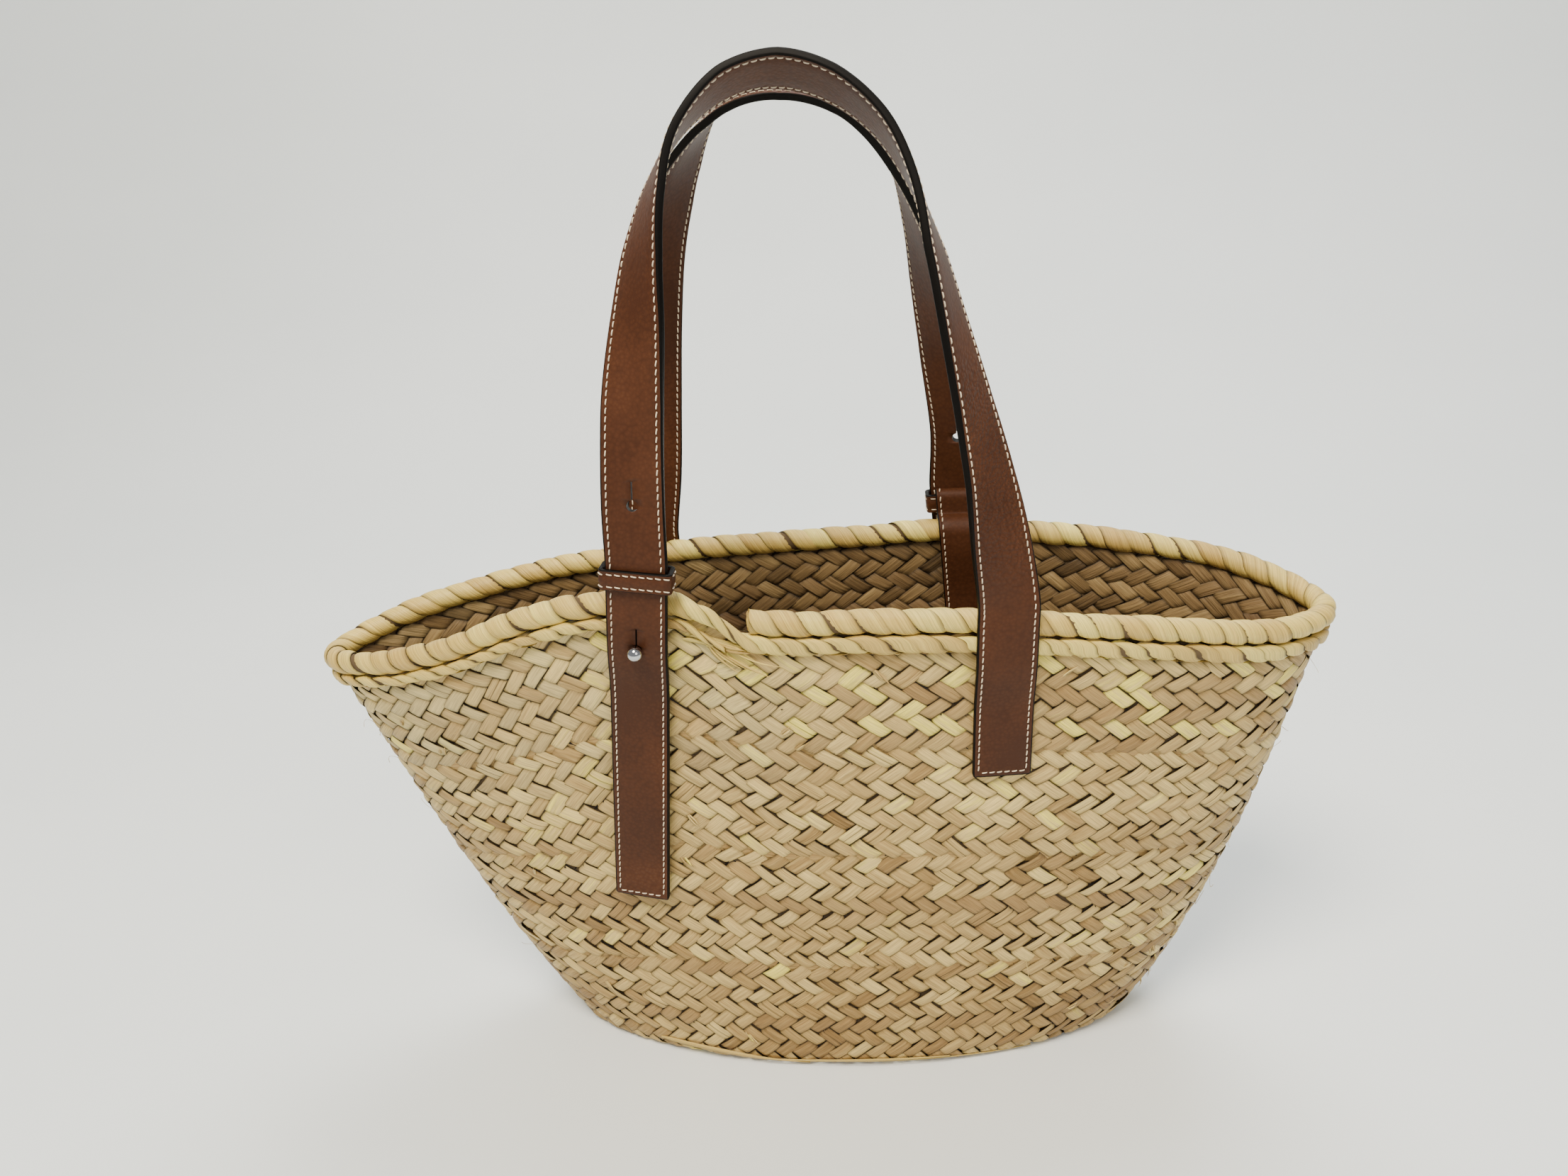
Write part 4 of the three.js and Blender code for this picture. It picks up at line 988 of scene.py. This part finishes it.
def even_frames(stations, outs, turned, step):
    """Points, along, out and across directions at even steps of arc length."""
    points, places = catmull_rom(stations, 40)
    travel = np.concatenate([[0], np.cumsum(np.linalg.norm(np.diff(points, axis=0), axis=1))])
    arc = np.linspace(0, travel[-1], int(travel[-1] / step) + 1)
    point = np.stack([np.interp(arc, travel, points[:, i]) for i in range(3)], axis=1)
    place = np.interp(arc, travel, places)
    along = unit(np.gradient(point, axis=0))
    out = np.stack([np.interp(place, np.arange(len(outs)), outs[:, i]) for i in range(3)], axis=1)
    out = unit(out - along * np.sum(out * along, axis=1, keepdims=True))
    out = rotate(out, along, -math.radians(ARCH_TURN) * np.interp(place, np.arange(len(turned)), turned))
    return {"arc": arc, "point": point, "along": along, "out": out, "across": np.cross(along, out)}


def frame_at(frames, arc):
    """The ribbon's frame at arc lengths between its steps."""
    pick = lambda key: np.stack([np.interp(arc, frames["arc"], frames[key][:, i]) for i in range(3)], axis=-1)
    out, along = unit(pick("out")), unit(pick("along"))
    across = unit(np.cross(along, out))
    return {"arc": arc, "point": pick("point"), "out": out, "along": along, "across": across}


FRAME_STEP = 2.0
strap_frames = {name: even_frames(*stations[name], FRAME_STEP) for name in SIDES}
print("strap lengths, mm:", {name: round(f["arc"][-1]) for name, f in strap_frames.items()})

# %% [markdown]
# ## Ribbons of leather
#
# Strap, tab and keeper loop are all strips of leather with painted edges and a stitched groove near each
# edge, so one function sweeps the same kind of section along any run of frames. The section is drawn for
# the right half of the outer face and mirrored: flat in the middle, down into the groove, up again, and
# round the edge. The ends get a short taper, as a burnished end has.

# %% Sweep a strip of leather
def edge_radius_of(thickness):
    return min(1.0, thickness * 0.28)


def strip_section(width, thickness, seam):
    """Half a section: places across and heights of the outer face, from the middle to the edge."""
    half, high = width / 2, thickness / 2
    groove = half - seam
    across = [0, groove * 0.5, groove - 1.1, groove - 0.55, groove, groove + 0.55, groove + 0.95]
    height = [high + 0.12, high + 0.1, high + 0.04, high - 0.08, high - 0.22, high - 0.08, high]
    bend = np.linspace(0.15, 1, 5) * math.pi / 2
    edge_radius = edge_radius_of(thickness)
    across += list(half - edge_radius + edge_radius * np.sin(bend))
    height += list(high - edge_radius + edge_radius * np.cos(bend))
    return np.array(across), np.array(height)


def with_close_ends(frames):
    """The same frames with a few more near both ends, for the taper."""
    near = np.array([0, 0.2, 0.5, 0.9, 1.4])
    arc = np.concatenate([near, frames["arc"][1:-1], frames["arc"][-1] - near[::-1]])
    return frame_at(frames, arc)


def leather_strip(name, frames, width, thickness, seam, closed=False, pebble=None, scuff=None):
    """A strip of leather along frames, with painted edges. seam: how far its stitches lie from the edge."""
    across, height = strip_section(width, thickness, seam)
    half_count = len(across)
    a = np.concatenate([across, across[::-1], -across[1:], -across[:0:-1]])
    h = np.concatenate([height, -height[::-1], -height[1:], height[:0:-1]])
    if not closed:
        frames = with_close_ends(frames)
    count, rings, arc = len(a), len(frames["arc"]), frames["arc"]
    near_end = np.clip(np.minimum(arc, arc[-1] - arc) / 1.2, 0, 1) if not closed else np.ones(rings)
    thin, narrow = 0.6 + 0.4 * np.sqrt(near_end), 0.7 * (1 - np.sqrt(near_end))
    at_edge = np.abs(a) > width / 2 - edge_radius_of(thickness) - 0.02
    a_at = a[None] - np.sign(a)[None] * narrow[:, None] * at_edge[None]
    points = (
        frames["point"][:, None] + frames["across"][:, None] * a_at[..., None]
        + frames["out"][:, None] * (h[None] * thin[:, None])[..., None]
    )
    faces = grid_faces(rings + 1 if closed else rings, count, 1, True) % (rings * count)
    ring, column = np.divmod(np.arange(len(faces)), count)
    paint = at_edge[column] & at_edge[(column + 1) % count]
    if not closed:
        paint = paint | (near_end[ring] + near_end[np.minimum(ring + 1, rings - 1)] < 1.2)
        left = np.arange(1 - half_count, half_count - 1)
        cap = np.stack([left, left + 1, 2 * half_count - 2 - left, 2 * half_count - 1 - left], axis=1) % count
        faces = np.concatenate([faces, cap[:, ::-1], cap + (rings - 1) * count])
        paint = np.concatenate([paint, np.ones(2 * len(cap), bool)])
    uv = np.stack([a_at, np.repeat(arc[:, None], count, axis=1)], axis=-1)
    pebbled = np.zeros(rings) if pebble is None else pebble(arc)
    scuffed = np.zeros(rings) if scuff is None else np.clip(1 - np.abs(arc - scuff) / 2.2, 0, 1)
    shown = {"pebble": np.repeat(pebbled, count), "scuff": scuffed[:, None] * (np.abs(a) < width * 0.34)}
    piece = make_piece(name, points, faces, uv, shown, [LEATHER, EDGE_PAINT], paint.astype(int))
    return piece


print("points round a strap's section:", 4 * len(strip_section(STRAP_WIDTH, STRAP_THICKNESS, 2.3)[0]) - 2)

# %% Sew rows of stitches
STITCH_PITCH, STITCH_LENGTH, THREAD_RADIUS = 3.2, 2.45, 0.31
STITCH_SLANT = 0.12


def sew(name, point, forward, sideways, out, slot_name):
    """A stitch at each point: a short thread that rises from one hole and dives into the next."""
    reach = np.array([-0.5, -0.42, -0.2, 0.2, 0.42, 0.5]) * STITCH_LENGTH
    rise = np.array([-0.3, 0.02, 0.14, 0.14, 0.02, -0.3])
    fat = np.array([0.5, 0.9, 1, 1, 0.9, 0.5]) * THREAD_RADIUS
    phi = np.linspace(0, 2 * math.pi, 6, endpoint=False)
    forward = unit(forward + sideways * STITCH_SLANT)
    spread = lambda vectors: vectors[:, None, None]
    points = (
        spread(point) + spread(forward) * reach[None, :, None, None]
        + spread(sideways) * (fat[:, None] * np.cos(phi))[None, ..., None]
        + spread(out) * (rise[:, None] + fat[:, None] * np.sin(phi))[None, ..., None]
    )
    faces = grid_faces(6, 6, len(point), True)
    return make_piece(name, points, faces, None, None, [THREAD])


def seam_rows(frames, width, thickness, seam, faces, ends, margin=3.2):
    """Places and directions of the stitches along both edges, and across the ends, of a strip."""
    length = frames["arc"][-1]
    count = int((length - 2 * margin) / STITCH_PITCH)
    arc = margin + (np.arange(count) + 0.5) * (length - 2 * margin) / count
    run = frame_at(frames, arc)
    place = width / 2 - seam
    lines = []
    for face in faces:
        for edge in (-1, 1):
            point = run["point"] + run["across"] * edge * place + run["out"] * face * (thickness / 2 - 0.12)
            lines.append((point, run["along"], run["across"], run["out"] * face))
        for end in ends:
            across = np.arange(-place + 1.8, place - 1.2, STITCH_PITCH)
            spot = frame_at(frames, np.full(len(across), seam + 0.4 if end == 0 else length - seam - 0.4))
            proud_by = face * (thickness / 2 + 0.08)
            point = spot["point"] + spot["across"] * across[:, None] + spot["out"] * proud_by
            lines.append((point, spot["across"], spot["along"], spot["out"] * face))
    return [np.concatenate(parts) for parts in zip(*lines)]


print("stitches in 100 mm of seam:", int(100 / STITCH_PITCH))

# %% Helpers for the holes
def at_height(frames, height):
    """Arc length where a strap's loose leg reaches a height."""
    above = int(np.argmax(frames["point"][:, 2] > height))
    low, high = frames["point"][above - 1, 2], frames["point"][above, 2]
    return mix(frames["arc"][above - 1], frames["arc"][above], (height - low) / (high - low))


def punch(piece, frames, arc):
    """Cuts a round hole and the slit above it through a strap."""
    spot = frame_at(frames, np.array([arc]))
    p, along, out, across = (spot[key][0] for key in ("point", "along", "out", "across"))
    half_slit = math.asin(SLIT_WIDTH / HOLE_DIAMETER)
    top = math.pi / 2
    circle = [(HOLE_DIAMETER / 2 * math.cos(t), HOLE_DIAMETER / 2 * math.sin(t))
              for t in np.linspace(top + half_slit, top + 2 * math.pi - half_slit, 26)]
    outline = np.array(circle + [(SLIT_WIDTH / 2, SLIT_LENGTH + 1.5), (-SLIT_WIDTH / 2, SLIT_LENGTH + 1.5)])
    ring = p + across * outline[:, :1] + along * outline[:, 1:]
    count = len(outline)
    mesh = bpy.data.meshes.new("punch")
    corners = np.concatenate([ring - out * 5, ring + out * 5]) * MM
    walls = [(i, (i + 1) % count, (i + 1) % count + count, i + count) for i in range(count)]
    lids = [tuple(range(count))[::-1], tuple(range(count, 2 * count))]
    mesh.from_pydata(corners.tolist(), [], walls + lids)
    for material in (LEATHER, EDGE_PAINT):
        mesh.materials.append(material)
    mesh.polygons.foreach_set("material_index", np.ones(len(mesh.polygons), int))
    tool = bpy.data.objects.new("punch", mesh)
    bpy.context.scene.collection.objects.link(tool)
    cut = piece.modifiers.new("punch", "BOOLEAN")
    cut.operation, cut.solver, cut.object = "DIFFERENCE", "EXACT", tool
    evaluated = piece.evaluated_get(bpy.context.evaluated_depsgraph_get())
    punched = bpy.data.meshes.new_from_object(evaluated)
    piece.modifiers.clear()
    piece.data = punched
    bpy.data.objects.remove(tool)


print("the slit above a hole, mm:", SLIT_WIDTH, "by", SLIT_LENGTH)

# %% Make both straps and punch their holes
STRAP_SEAM = 2.3
SCUFF_HEIGHT = 162.0
PEBBLED_FROM, PEBBLED_TO, PEBBLED_FADE = 190, 85, 25
strap_arcs = {}


def front_pebbles(arc):
    """1 on the stretch of the front strap whose grain is coarser, counted back from its sewn end."""
    from_end = strap_frames["front"]["arc"][-1] - arc
    return ease((PEBBLED_FROM - from_end) / PEBBLED_FADE) * ease((from_end - PEBBLED_TO) / PEBBLED_FADE)


for name, frames in strap_frames.items():
    coarse = front_pebbles if name == "front" else None
    scuff = at_height(frames, SCUFF_HEIGHT) if name == "front" else None
    strap = leather_strip(
        f"strap_{name}", frames, STRAP_WIDTH, STRAP_THICKNESS, STRAP_SEAM,
        pebble=coarse, scuff=scuff,
    )
    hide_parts(f"handle_{name}")
    loose = Leg(SIDES[name], "loose")
    stud_arc = at_height(frames, loose.rim - STUD_BELOW_RIM)
    hole_arc = at_height(frames, loose.rim - STUD_BELOW_RIM + HOLE_ABOVE_STUD)
    loop_arc = at_height(frames, loose.loop_foot + LOOP_HEIGHT / 2)
    strap_arcs[name] = {"stud": stud_arc, "loop": loop_arc}
    punch(strap, frames, stud_arc)
    punch(strap, frames, hole_arc)
    stitches = seam_rows(frames, STRAP_WIDTH, STRAP_THICKNESS, STRAP_SEAM, (1, -1), (0, 1))
    sew(f"strap_stitches_{name}", *stitches, "leather")

# %% [markdown]
# ## Tabs, keeper loops and studs
#
# Under each adjustable end a saddle tab hangs over the rim: up inside the mouth, over the roll, up behind
# the keeper loop, round its back and down under the strap. The loop goes round strap and tab, and the ball
# stud stands on the tab and comes out through the strap. A ball turned on a lathe is a profile spun round
# its axis, so the stud is one profile and a grid.

# %% Fold the tabs over the rim
def tab_frames(name):
    side = SIDES[name]
    leg = Leg(side, "loose")
    half = TAB_THICKNESS / 2
    roll_at = leg.edge + ROLL_CENTRE
    radius = ROLL / 2 + GAP + half
    outer = ROLL / 2 + GAP + TAB_THICKNESS
    doubled = outer - TAB_THICKNESS - LOOP_THICKNESS - 2 * GAP - half
    fold = (outer - half - doubled) / 2
    top = leg.loop_foot + LOOP_HEIGHT + TAB_ABOVE_LOOP - half
    inside = np.linspace(leg.rim - TAB_DOWN, leg.edge - GAP, 24)
    outside = np.linspace(roll_at, leg.rim - TAB_DOWN, 30)
    over = np.linspace(math.pi, math.radians(105), 8)
    bend = np.linspace(math.pi, 0, 12)
    offsets = np.concatenate([
        -drape(leg.edge - GAP - inside, half), radius * np.cos(over),
        [doubled - 0.6, doubled - 0.05],
        doubled + fold - fold * np.abs(np.cos(bend)) * np.sign(np.cos(math.pi - bend)),
        drape(leg.edge - BAND_HEIGHT - GAP - outside, half),
    ])
    heights = np.concatenate([
        inside, roll_at + radius * np.sin(over), [roll_at + radius + 0.5, roll_at + radius + 1.9],
        top - fold + fold * np.sin(bend), outside,
    ])
    point, around, _ = leg.at(heights, offsets)
    travel = np.concatenate([[0], np.cumsum(np.linalg.norm(np.diff(point, axis=0), axis=1))])
    arc = np.linspace(0, travel[-1], int(travel[-1] / 0.8))
    point = np.stack([np.interp(arc, travel, point[:, i]) for i in range(3)], axis=1)
    across = unit(-np.stack([np.interp(arc, travel, around[:, i]) for i in range(3)], axis=1))
    along = unit(np.gradient(point, axis=0))
    across = unit(across - along * np.sum(across * along, axis=1, keepdims=True))
    return {"arc": arc, "point": point, "along": along, "out": np.cross(across, along), "across": across}


TAB_SEAM, LOOP_SEAM = 2.0, 1.7
for name in SIDES:
    frames = tab_frames(name)
    tab = leather_strip(f"saddle_tab_{name}", frames, TAB_WIDTH, TAB_THICKNESS, TAB_SEAM)
    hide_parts(f"tab_{name}")
    sew(f"tab_stitches_{name}", *seam_rows(frames, TAB_WIDTH, TAB_THICKNESS, TAB_SEAM, (1,), (0,)), "leather")

# %% Close the keeper loops round strap and tab
def loop_frames(name):
    spot = frame_at(strap_frames[name], np.array([strap_arcs[name]["loop"]]))
    p, along, out, across = (spot[key][0] for key in ("point", "along", "out", "across"))
    half = LOOP_THICKNESS / 2
    wide = STRAP_WIDTH / 2 + GAP + half
    low = -(STRAP_THICKNESS / 2 + TAB_THICKNESS + 2 * GAP + half)
    high = STRAP_THICKNESS / 2 + GAP + half
    corner = 1.3
    bend = np.linspace(0, math.pi / 2, 7)
    a, o = [], []
    for start, (ca, co) in enumerate(((wide, high), (-wide, high), (-wide, low), (wide, low))):
        turned = bend + start * math.pi / 2
        a += list(ca - math.copysign(corner, ca) + corner * np.cos(turned))
        o += list(co - math.copysign(corner, co) + corner * np.sin(turned))
    point = p + across * np.array(a)[:, None] + out * np.array(o)[:, None]
    closed = np.concatenate([point, point[:1]])
    travel = np.concatenate([[0], np.cumsum(np.linalg.norm(np.diff(closed, axis=0), axis=1))])
    arc = np.arange(0, travel[-1] - 0.5, 1.0)
    arc = np.sort(np.unique(np.concatenate([arc, travel[:-1]]).round(3)))
    point = np.stack([np.interp(arc, travel, closed[:, i]) for i in range(3)], axis=1)
    forward = unit(np.roll(point, -1, axis=0) - np.roll(point, 1, axis=0))
    sideways = np.tile(along, (len(arc), 1))
    return {
        "arc": arc, "point": point, "along": forward, "out": np.cross(forward, sideways), "across": sideways
    }


for name in SIDES:
    frames = loop_frames(name)
    middle = frames["point"].mean(axis=0)
    outward = np.sum(frames["out"] * (frames["point"] - middle)) > 0
    if not outward:
        frames["out"], frames["across"] = -frames["out"], -frames["across"]
    frames["across"] = np.cross(frames["along"], frames["out"])
    loop = leather_strip(f"keeper_{name}", frames, LOOP_HEIGHT, LOOP_THICKNESS, LOOP_SEAM, True)
    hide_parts(f"keeper_loop_{name}")
    stitches = seam_rows(frames, LOOP_HEIGHT, LOOP_THICKNESS, LOOP_SEAM, (1,), (), 0.2)
    sew(f"keeper_stitches_{name}", *stitches, "leather")

# %% Turn the ball studs
def lathe(name, profile, place, out, across, material):
    """Spins a profile of (radius, height) points round the out direction."""
    up = np.cross(out, across)
    turn = np.linspace(0, 2 * math.pi, 40, endpoint=False)
    radius, height = np.array(profile).T
    ring = across * np.cos(turn)[:, None] + up * np.sin(turn)[:, None]
    points = place + out * height[:, None, None] + ring[None] * radius[:, None, None]
    piece = make_piece(name, points, grid_faces(len(profile), 40, 1, True)[:, ::-1], None, None, [material])
    return piece


for name in SIDES:
    spot = frame_at(strap_frames[name], np.array([strap_arcs[name]["stud"]]))
    root = -(STRAP_THICKNESS / 2 + TAB_THICKNESS)
    neck = STRAP_THICKNESS / 2 + GAP
    ball = STUD_BALL / 2
    middle = neck + math.sqrt(ball**2 - STUD_POST**2 / 4)
    bend = np.linspace(math.asin(STUD_POST / STUD_BALL), math.pi, 28)
    shank = STUD_POST / 2 - 0.1
    profile = [(0.01, root), (shank, root), (shank, neck - 0.5), (STUD_POST / 2, neck - 0.1)]
    profile += [(max(ball * math.sin(t), 0.003), middle - ball * math.cos(t)) for t in bend]
    place, out, across = (spot[key][0] for key in ("point", "out", "across"))
    stud = lathe(f"ball_stud_{name}", profile, place, out, across, CHROME)
    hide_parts(f"stud_{name}")

# %% [markdown]
# ## Loose ends
#
# Leaf plaited by hand never ends neatly. The binding's own end tapers out under the drop in a brush of
# splinters, a lacing strand shows along the bottom edge at the front, short ends of strips stand a little
# proud of the weave, and a few hairs of straw stick out. All of them are thin strands laid on the same
# rows and angles as the weave, so they follow the bag wherever they lie.

# %% Lay strands on the weave
STRAND_STEPS = 12


def strands(name, angles, rows, lifts, widths, thickness, material):
    """Thin tapered strands, one for each line of the arrays: degrees, rows, lifts from the wall's middle."""
    angles = np.radians(angles)
    here = skin(angles, rows, lifts)
    out = unit(skin(angles, rows, lifts + 1) - here + 1e-6)
    along = unit(np.gradient(here, axis=1))
    side = unit(np.cross(along, out))
    place = np.linspace(0, 1, here.shape[1])
    taper = np.minimum(1, 0.55 + 6 * place) * np.minimum(1, 0.12 + 2.6 * (1 - place))
    half = np.asarray(widths)[:, None] / 2 * taper
    turn = np.array([0, 0.5, 1, 1.5]) * math.pi
    points = (
        here[:, :, None] + side[:, :, None] * (half[..., None] * np.cos(turn))[..., None]
        + out[:, :, None] * (thickness / 2 * np.sin(turn))[:, None]
    )
    count = len(here)
    each = lambda middle, spread: np.clip(dice.normal(middle, spread, count), 0, 1)[:, None, None]
    spread = np.ones(points.shape[:3])
    uv = np.stack([60 * dice.random(count)[:, None, None] + 20 * place[:, None] * spread,
                   half[..., None] * np.cos(turn) + 70 * dice.random(count)[:, None, None]], axis=-1)
    piece = make_piece(
        name, points, grid_faces(here.shape[1], 4, count, True), uv,
        {"tone": each(0.6, 0.16) * spread, "blush": each(0.15, 0.15) * spread}, [material],
    )
    return piece


def runs(starts, ends, bow):
    """Values from starts to ends along each strand, bowed in the middle."""
    share = np.linspace(0, 1, STRAND_STEPS)
    starts, ends, bow = (np.asarray(v, float)[:, None] for v in (starts, ends, bow))
    return starts + (ends - starts) * share + bow * 4 * share * (1 - share)


print("a run from 0 to 1, bowed by 1:", runs([0], [1], [1]).round(2).ravel()[[0, 3, 6, -1]])

# %% Fray the binding's end and lay the lacing strand
spray = 16
strands(
    "frayed_end",
    runs(dice.uniform(255.5, 259.5, spray), dice.uniform(261.0, 267.0, spray), dice.normal(0, 0.5, spray)),
    runs(dice.uniform(27.6, 28.4, spray), dice.uniform(26.5, 28.3, spray), dice.normal(0, 0.12, spray)),
    runs(np.full(spray, 2.6), dice.uniform(2.2, 4.4, spray), dice.uniform(0.2, 1.0, spray)),
    dice.uniform(0.6, 2.2, spray), 0.25, LEAF_BINDING,
)
strands(
    "lacing_strand", runs([229, 252, 268], [262, 290, 309], [0, 0, 0]),
    runs([0.3, -0.35, -0.3], [-0.4, -0.2, -0.5], [0, 0.1, 0.05]),
    runs([2.3, 2.2, 2.1], [2.4, 2.2, 1.9], [0.2, 0.1, 0.1]), [3.4, 2.4, 1.8], 0.5, LEAF_BINDING,
)

# %% Scatter short ends and hairs of straw
stubs = 46
at, level = np.repeat(dice.uniform(0, 360, stubs), 3), np.repeat(dice.uniform(1, 27, stubs), 3)
lean = np.repeat(dice.choice([-1, 1], stubs), 3)
at, level = at + dice.normal(0, 0.25, 3 * stubs), level + dice.normal(0, 0.08, 3 * stubs)
reach = dice.uniform(0.35, 0.75, 3 * stubs)
strands(
    "short_ends", runs(at, at + 2.1 * reach, dice.normal(0, 0.1, 3 * stubs)),
    runs(level, level + lean * reach, dice.normal(0, 0.05, 3 * stubs)),
    runs(np.full(3 * stubs, 1.6), dice.uniform(2.2, 3.4, 3 * stubs), dice.uniform(0.1, 0.5, 3 * stubs)),
    dice.uniform(0.5, 1.6, 3 * stubs), 0.2, LEAF_OUTSIDE,
)
hairs = 34
at, level = dice.uniform(0, 360, hairs), dice.uniform(1, 27.5, hairs)
at[:8] = [186, 189, 184, 352, 174, 8, 191, 349]
level[:8] = [24.5, 24.2, 17.0, 20.5, 12.0, 15.0, 22.0, 9.0]
strands(
    "straw_hairs", runs(at, at + dice.normal(0, 3.0, hairs), dice.normal(0, 0.8, hairs)),
    runs(level, level + dice.normal(0, 1.1, hairs), dice.normal(0, 0.3, hairs)),
    runs(np.full(hairs, 1.6), dice.uniform(2.5, 8.0, hairs), dice.uniform(0, 0.8, hairs)),
    dice.uniform(0.18, 0.34, hairs), 0.2, LEAF_OUTSIDE,
)

# %% [markdown]
# ## The floor and the light
#
# The bag stands on a pale matt floor that curves up behind it, as a roll of paper does in a studio, with
# soft light from above and in front. A sun lamp would cut hard shadows, so three large area lights do it:
# the bigger a light is, the softer the edge of its shadow.

# %% Lay the floor and curve it up behind the bag
FLOOR_HALF, SWEEP_AT, SWEEP_RADIUS, SWEEP_TOP = 1800, 620, 500, 1900
bend = np.linspace(0, math.pi / 2, 24)
depth = np.concatenate([[-FLOOR_HALF], SWEEP_AT + SWEEP_RADIUS * np.sin(bend), [SWEEP_AT + SWEEP_RADIUS]])
rise = np.concatenate([[0], SWEEP_RADIUS * (1 - np.cos(bend)), [SWEEP_TOP]])
sweep = [(x * FLOOR_HALF, y, z) for y, z in zip(depth, rise) for x in (-1, 1)]

# Matt white paper: uncoated, so it is rough and throws no highlight, and only its tint drifts a little.
TINTS_PER_MM = 0.006
paper = new_material("matt_white_paper")
soft_grey = add_node(paper, "ShaderNodeTexNoise", Scale=TINTS_PER_MM / MM, Detail=4.0).outputs["Fac"]
pale = add_node(
    paper, "ShaderNodeValToRGB", {"stops": [(0.3, "#e6ecec"), (0.7, "#eff4f4")]}, Fac=soft_grey
).outputs["Color"]
paper_shader = add_node(paper, "ShaderNodeBsdfPrincipled", Base_Color=pale, Roughness=0.9)
add_node(paper, "ShaderNodeOutputMaterial", Surface=paper_shader.outputs["BSDF"])
floor = make_piece("floor", sweep, grid_faces(len(depth), 2)[:, ::-1], None, None, [paper])

# %% Hang the lights
def soft_light(name, place, aim, size, watts, colour):
    lamp = bpy.data.lights.new(name, "AREA")
    lamp.shape, lamp.size, lamp.energy, lamp.color = "DISK", size, watts, linear(colour)[:3]
    light = bpy.data.objects.new(name, lamp)
    back = unit(np.array(place) - np.array(aim))
    right = unit(np.cross((0, 0, 1), back))
    facing = Matrix((right, np.cross(back, right), back)).transposed().to_4x4()
    light.matrix_world = Matrix.Translation(place) @ facing
    bpy.context.scene.collection.objects.link(light)
    return light


soft_light("light_above", (-0.3, -0.7, 1.6), (0, 0, 0.15), 0.7, 42, "#fff3e0")
soft_light("light_front", (0.9, -1.5, 1.2), (0, 0, 0.15), 1.2, 9, "#fff8f0")
soft_light("light_back", (0.3, 0.8, 1.8), (0, 0.5, 0.2), 1.0, 26, "#ffffff")
world = bpy.data.worlds.new("pale_room")
world.use_nodes = True
world.node_tree.nodes["Background"].inputs["Color"].default_value = linear("#ebecec")
world.node_tree.nodes["Background"].inputs["Strength"].default_value = 0.5
bpy.context.scene.world = world

# %% Finish
bpy.context.view_layer.update()
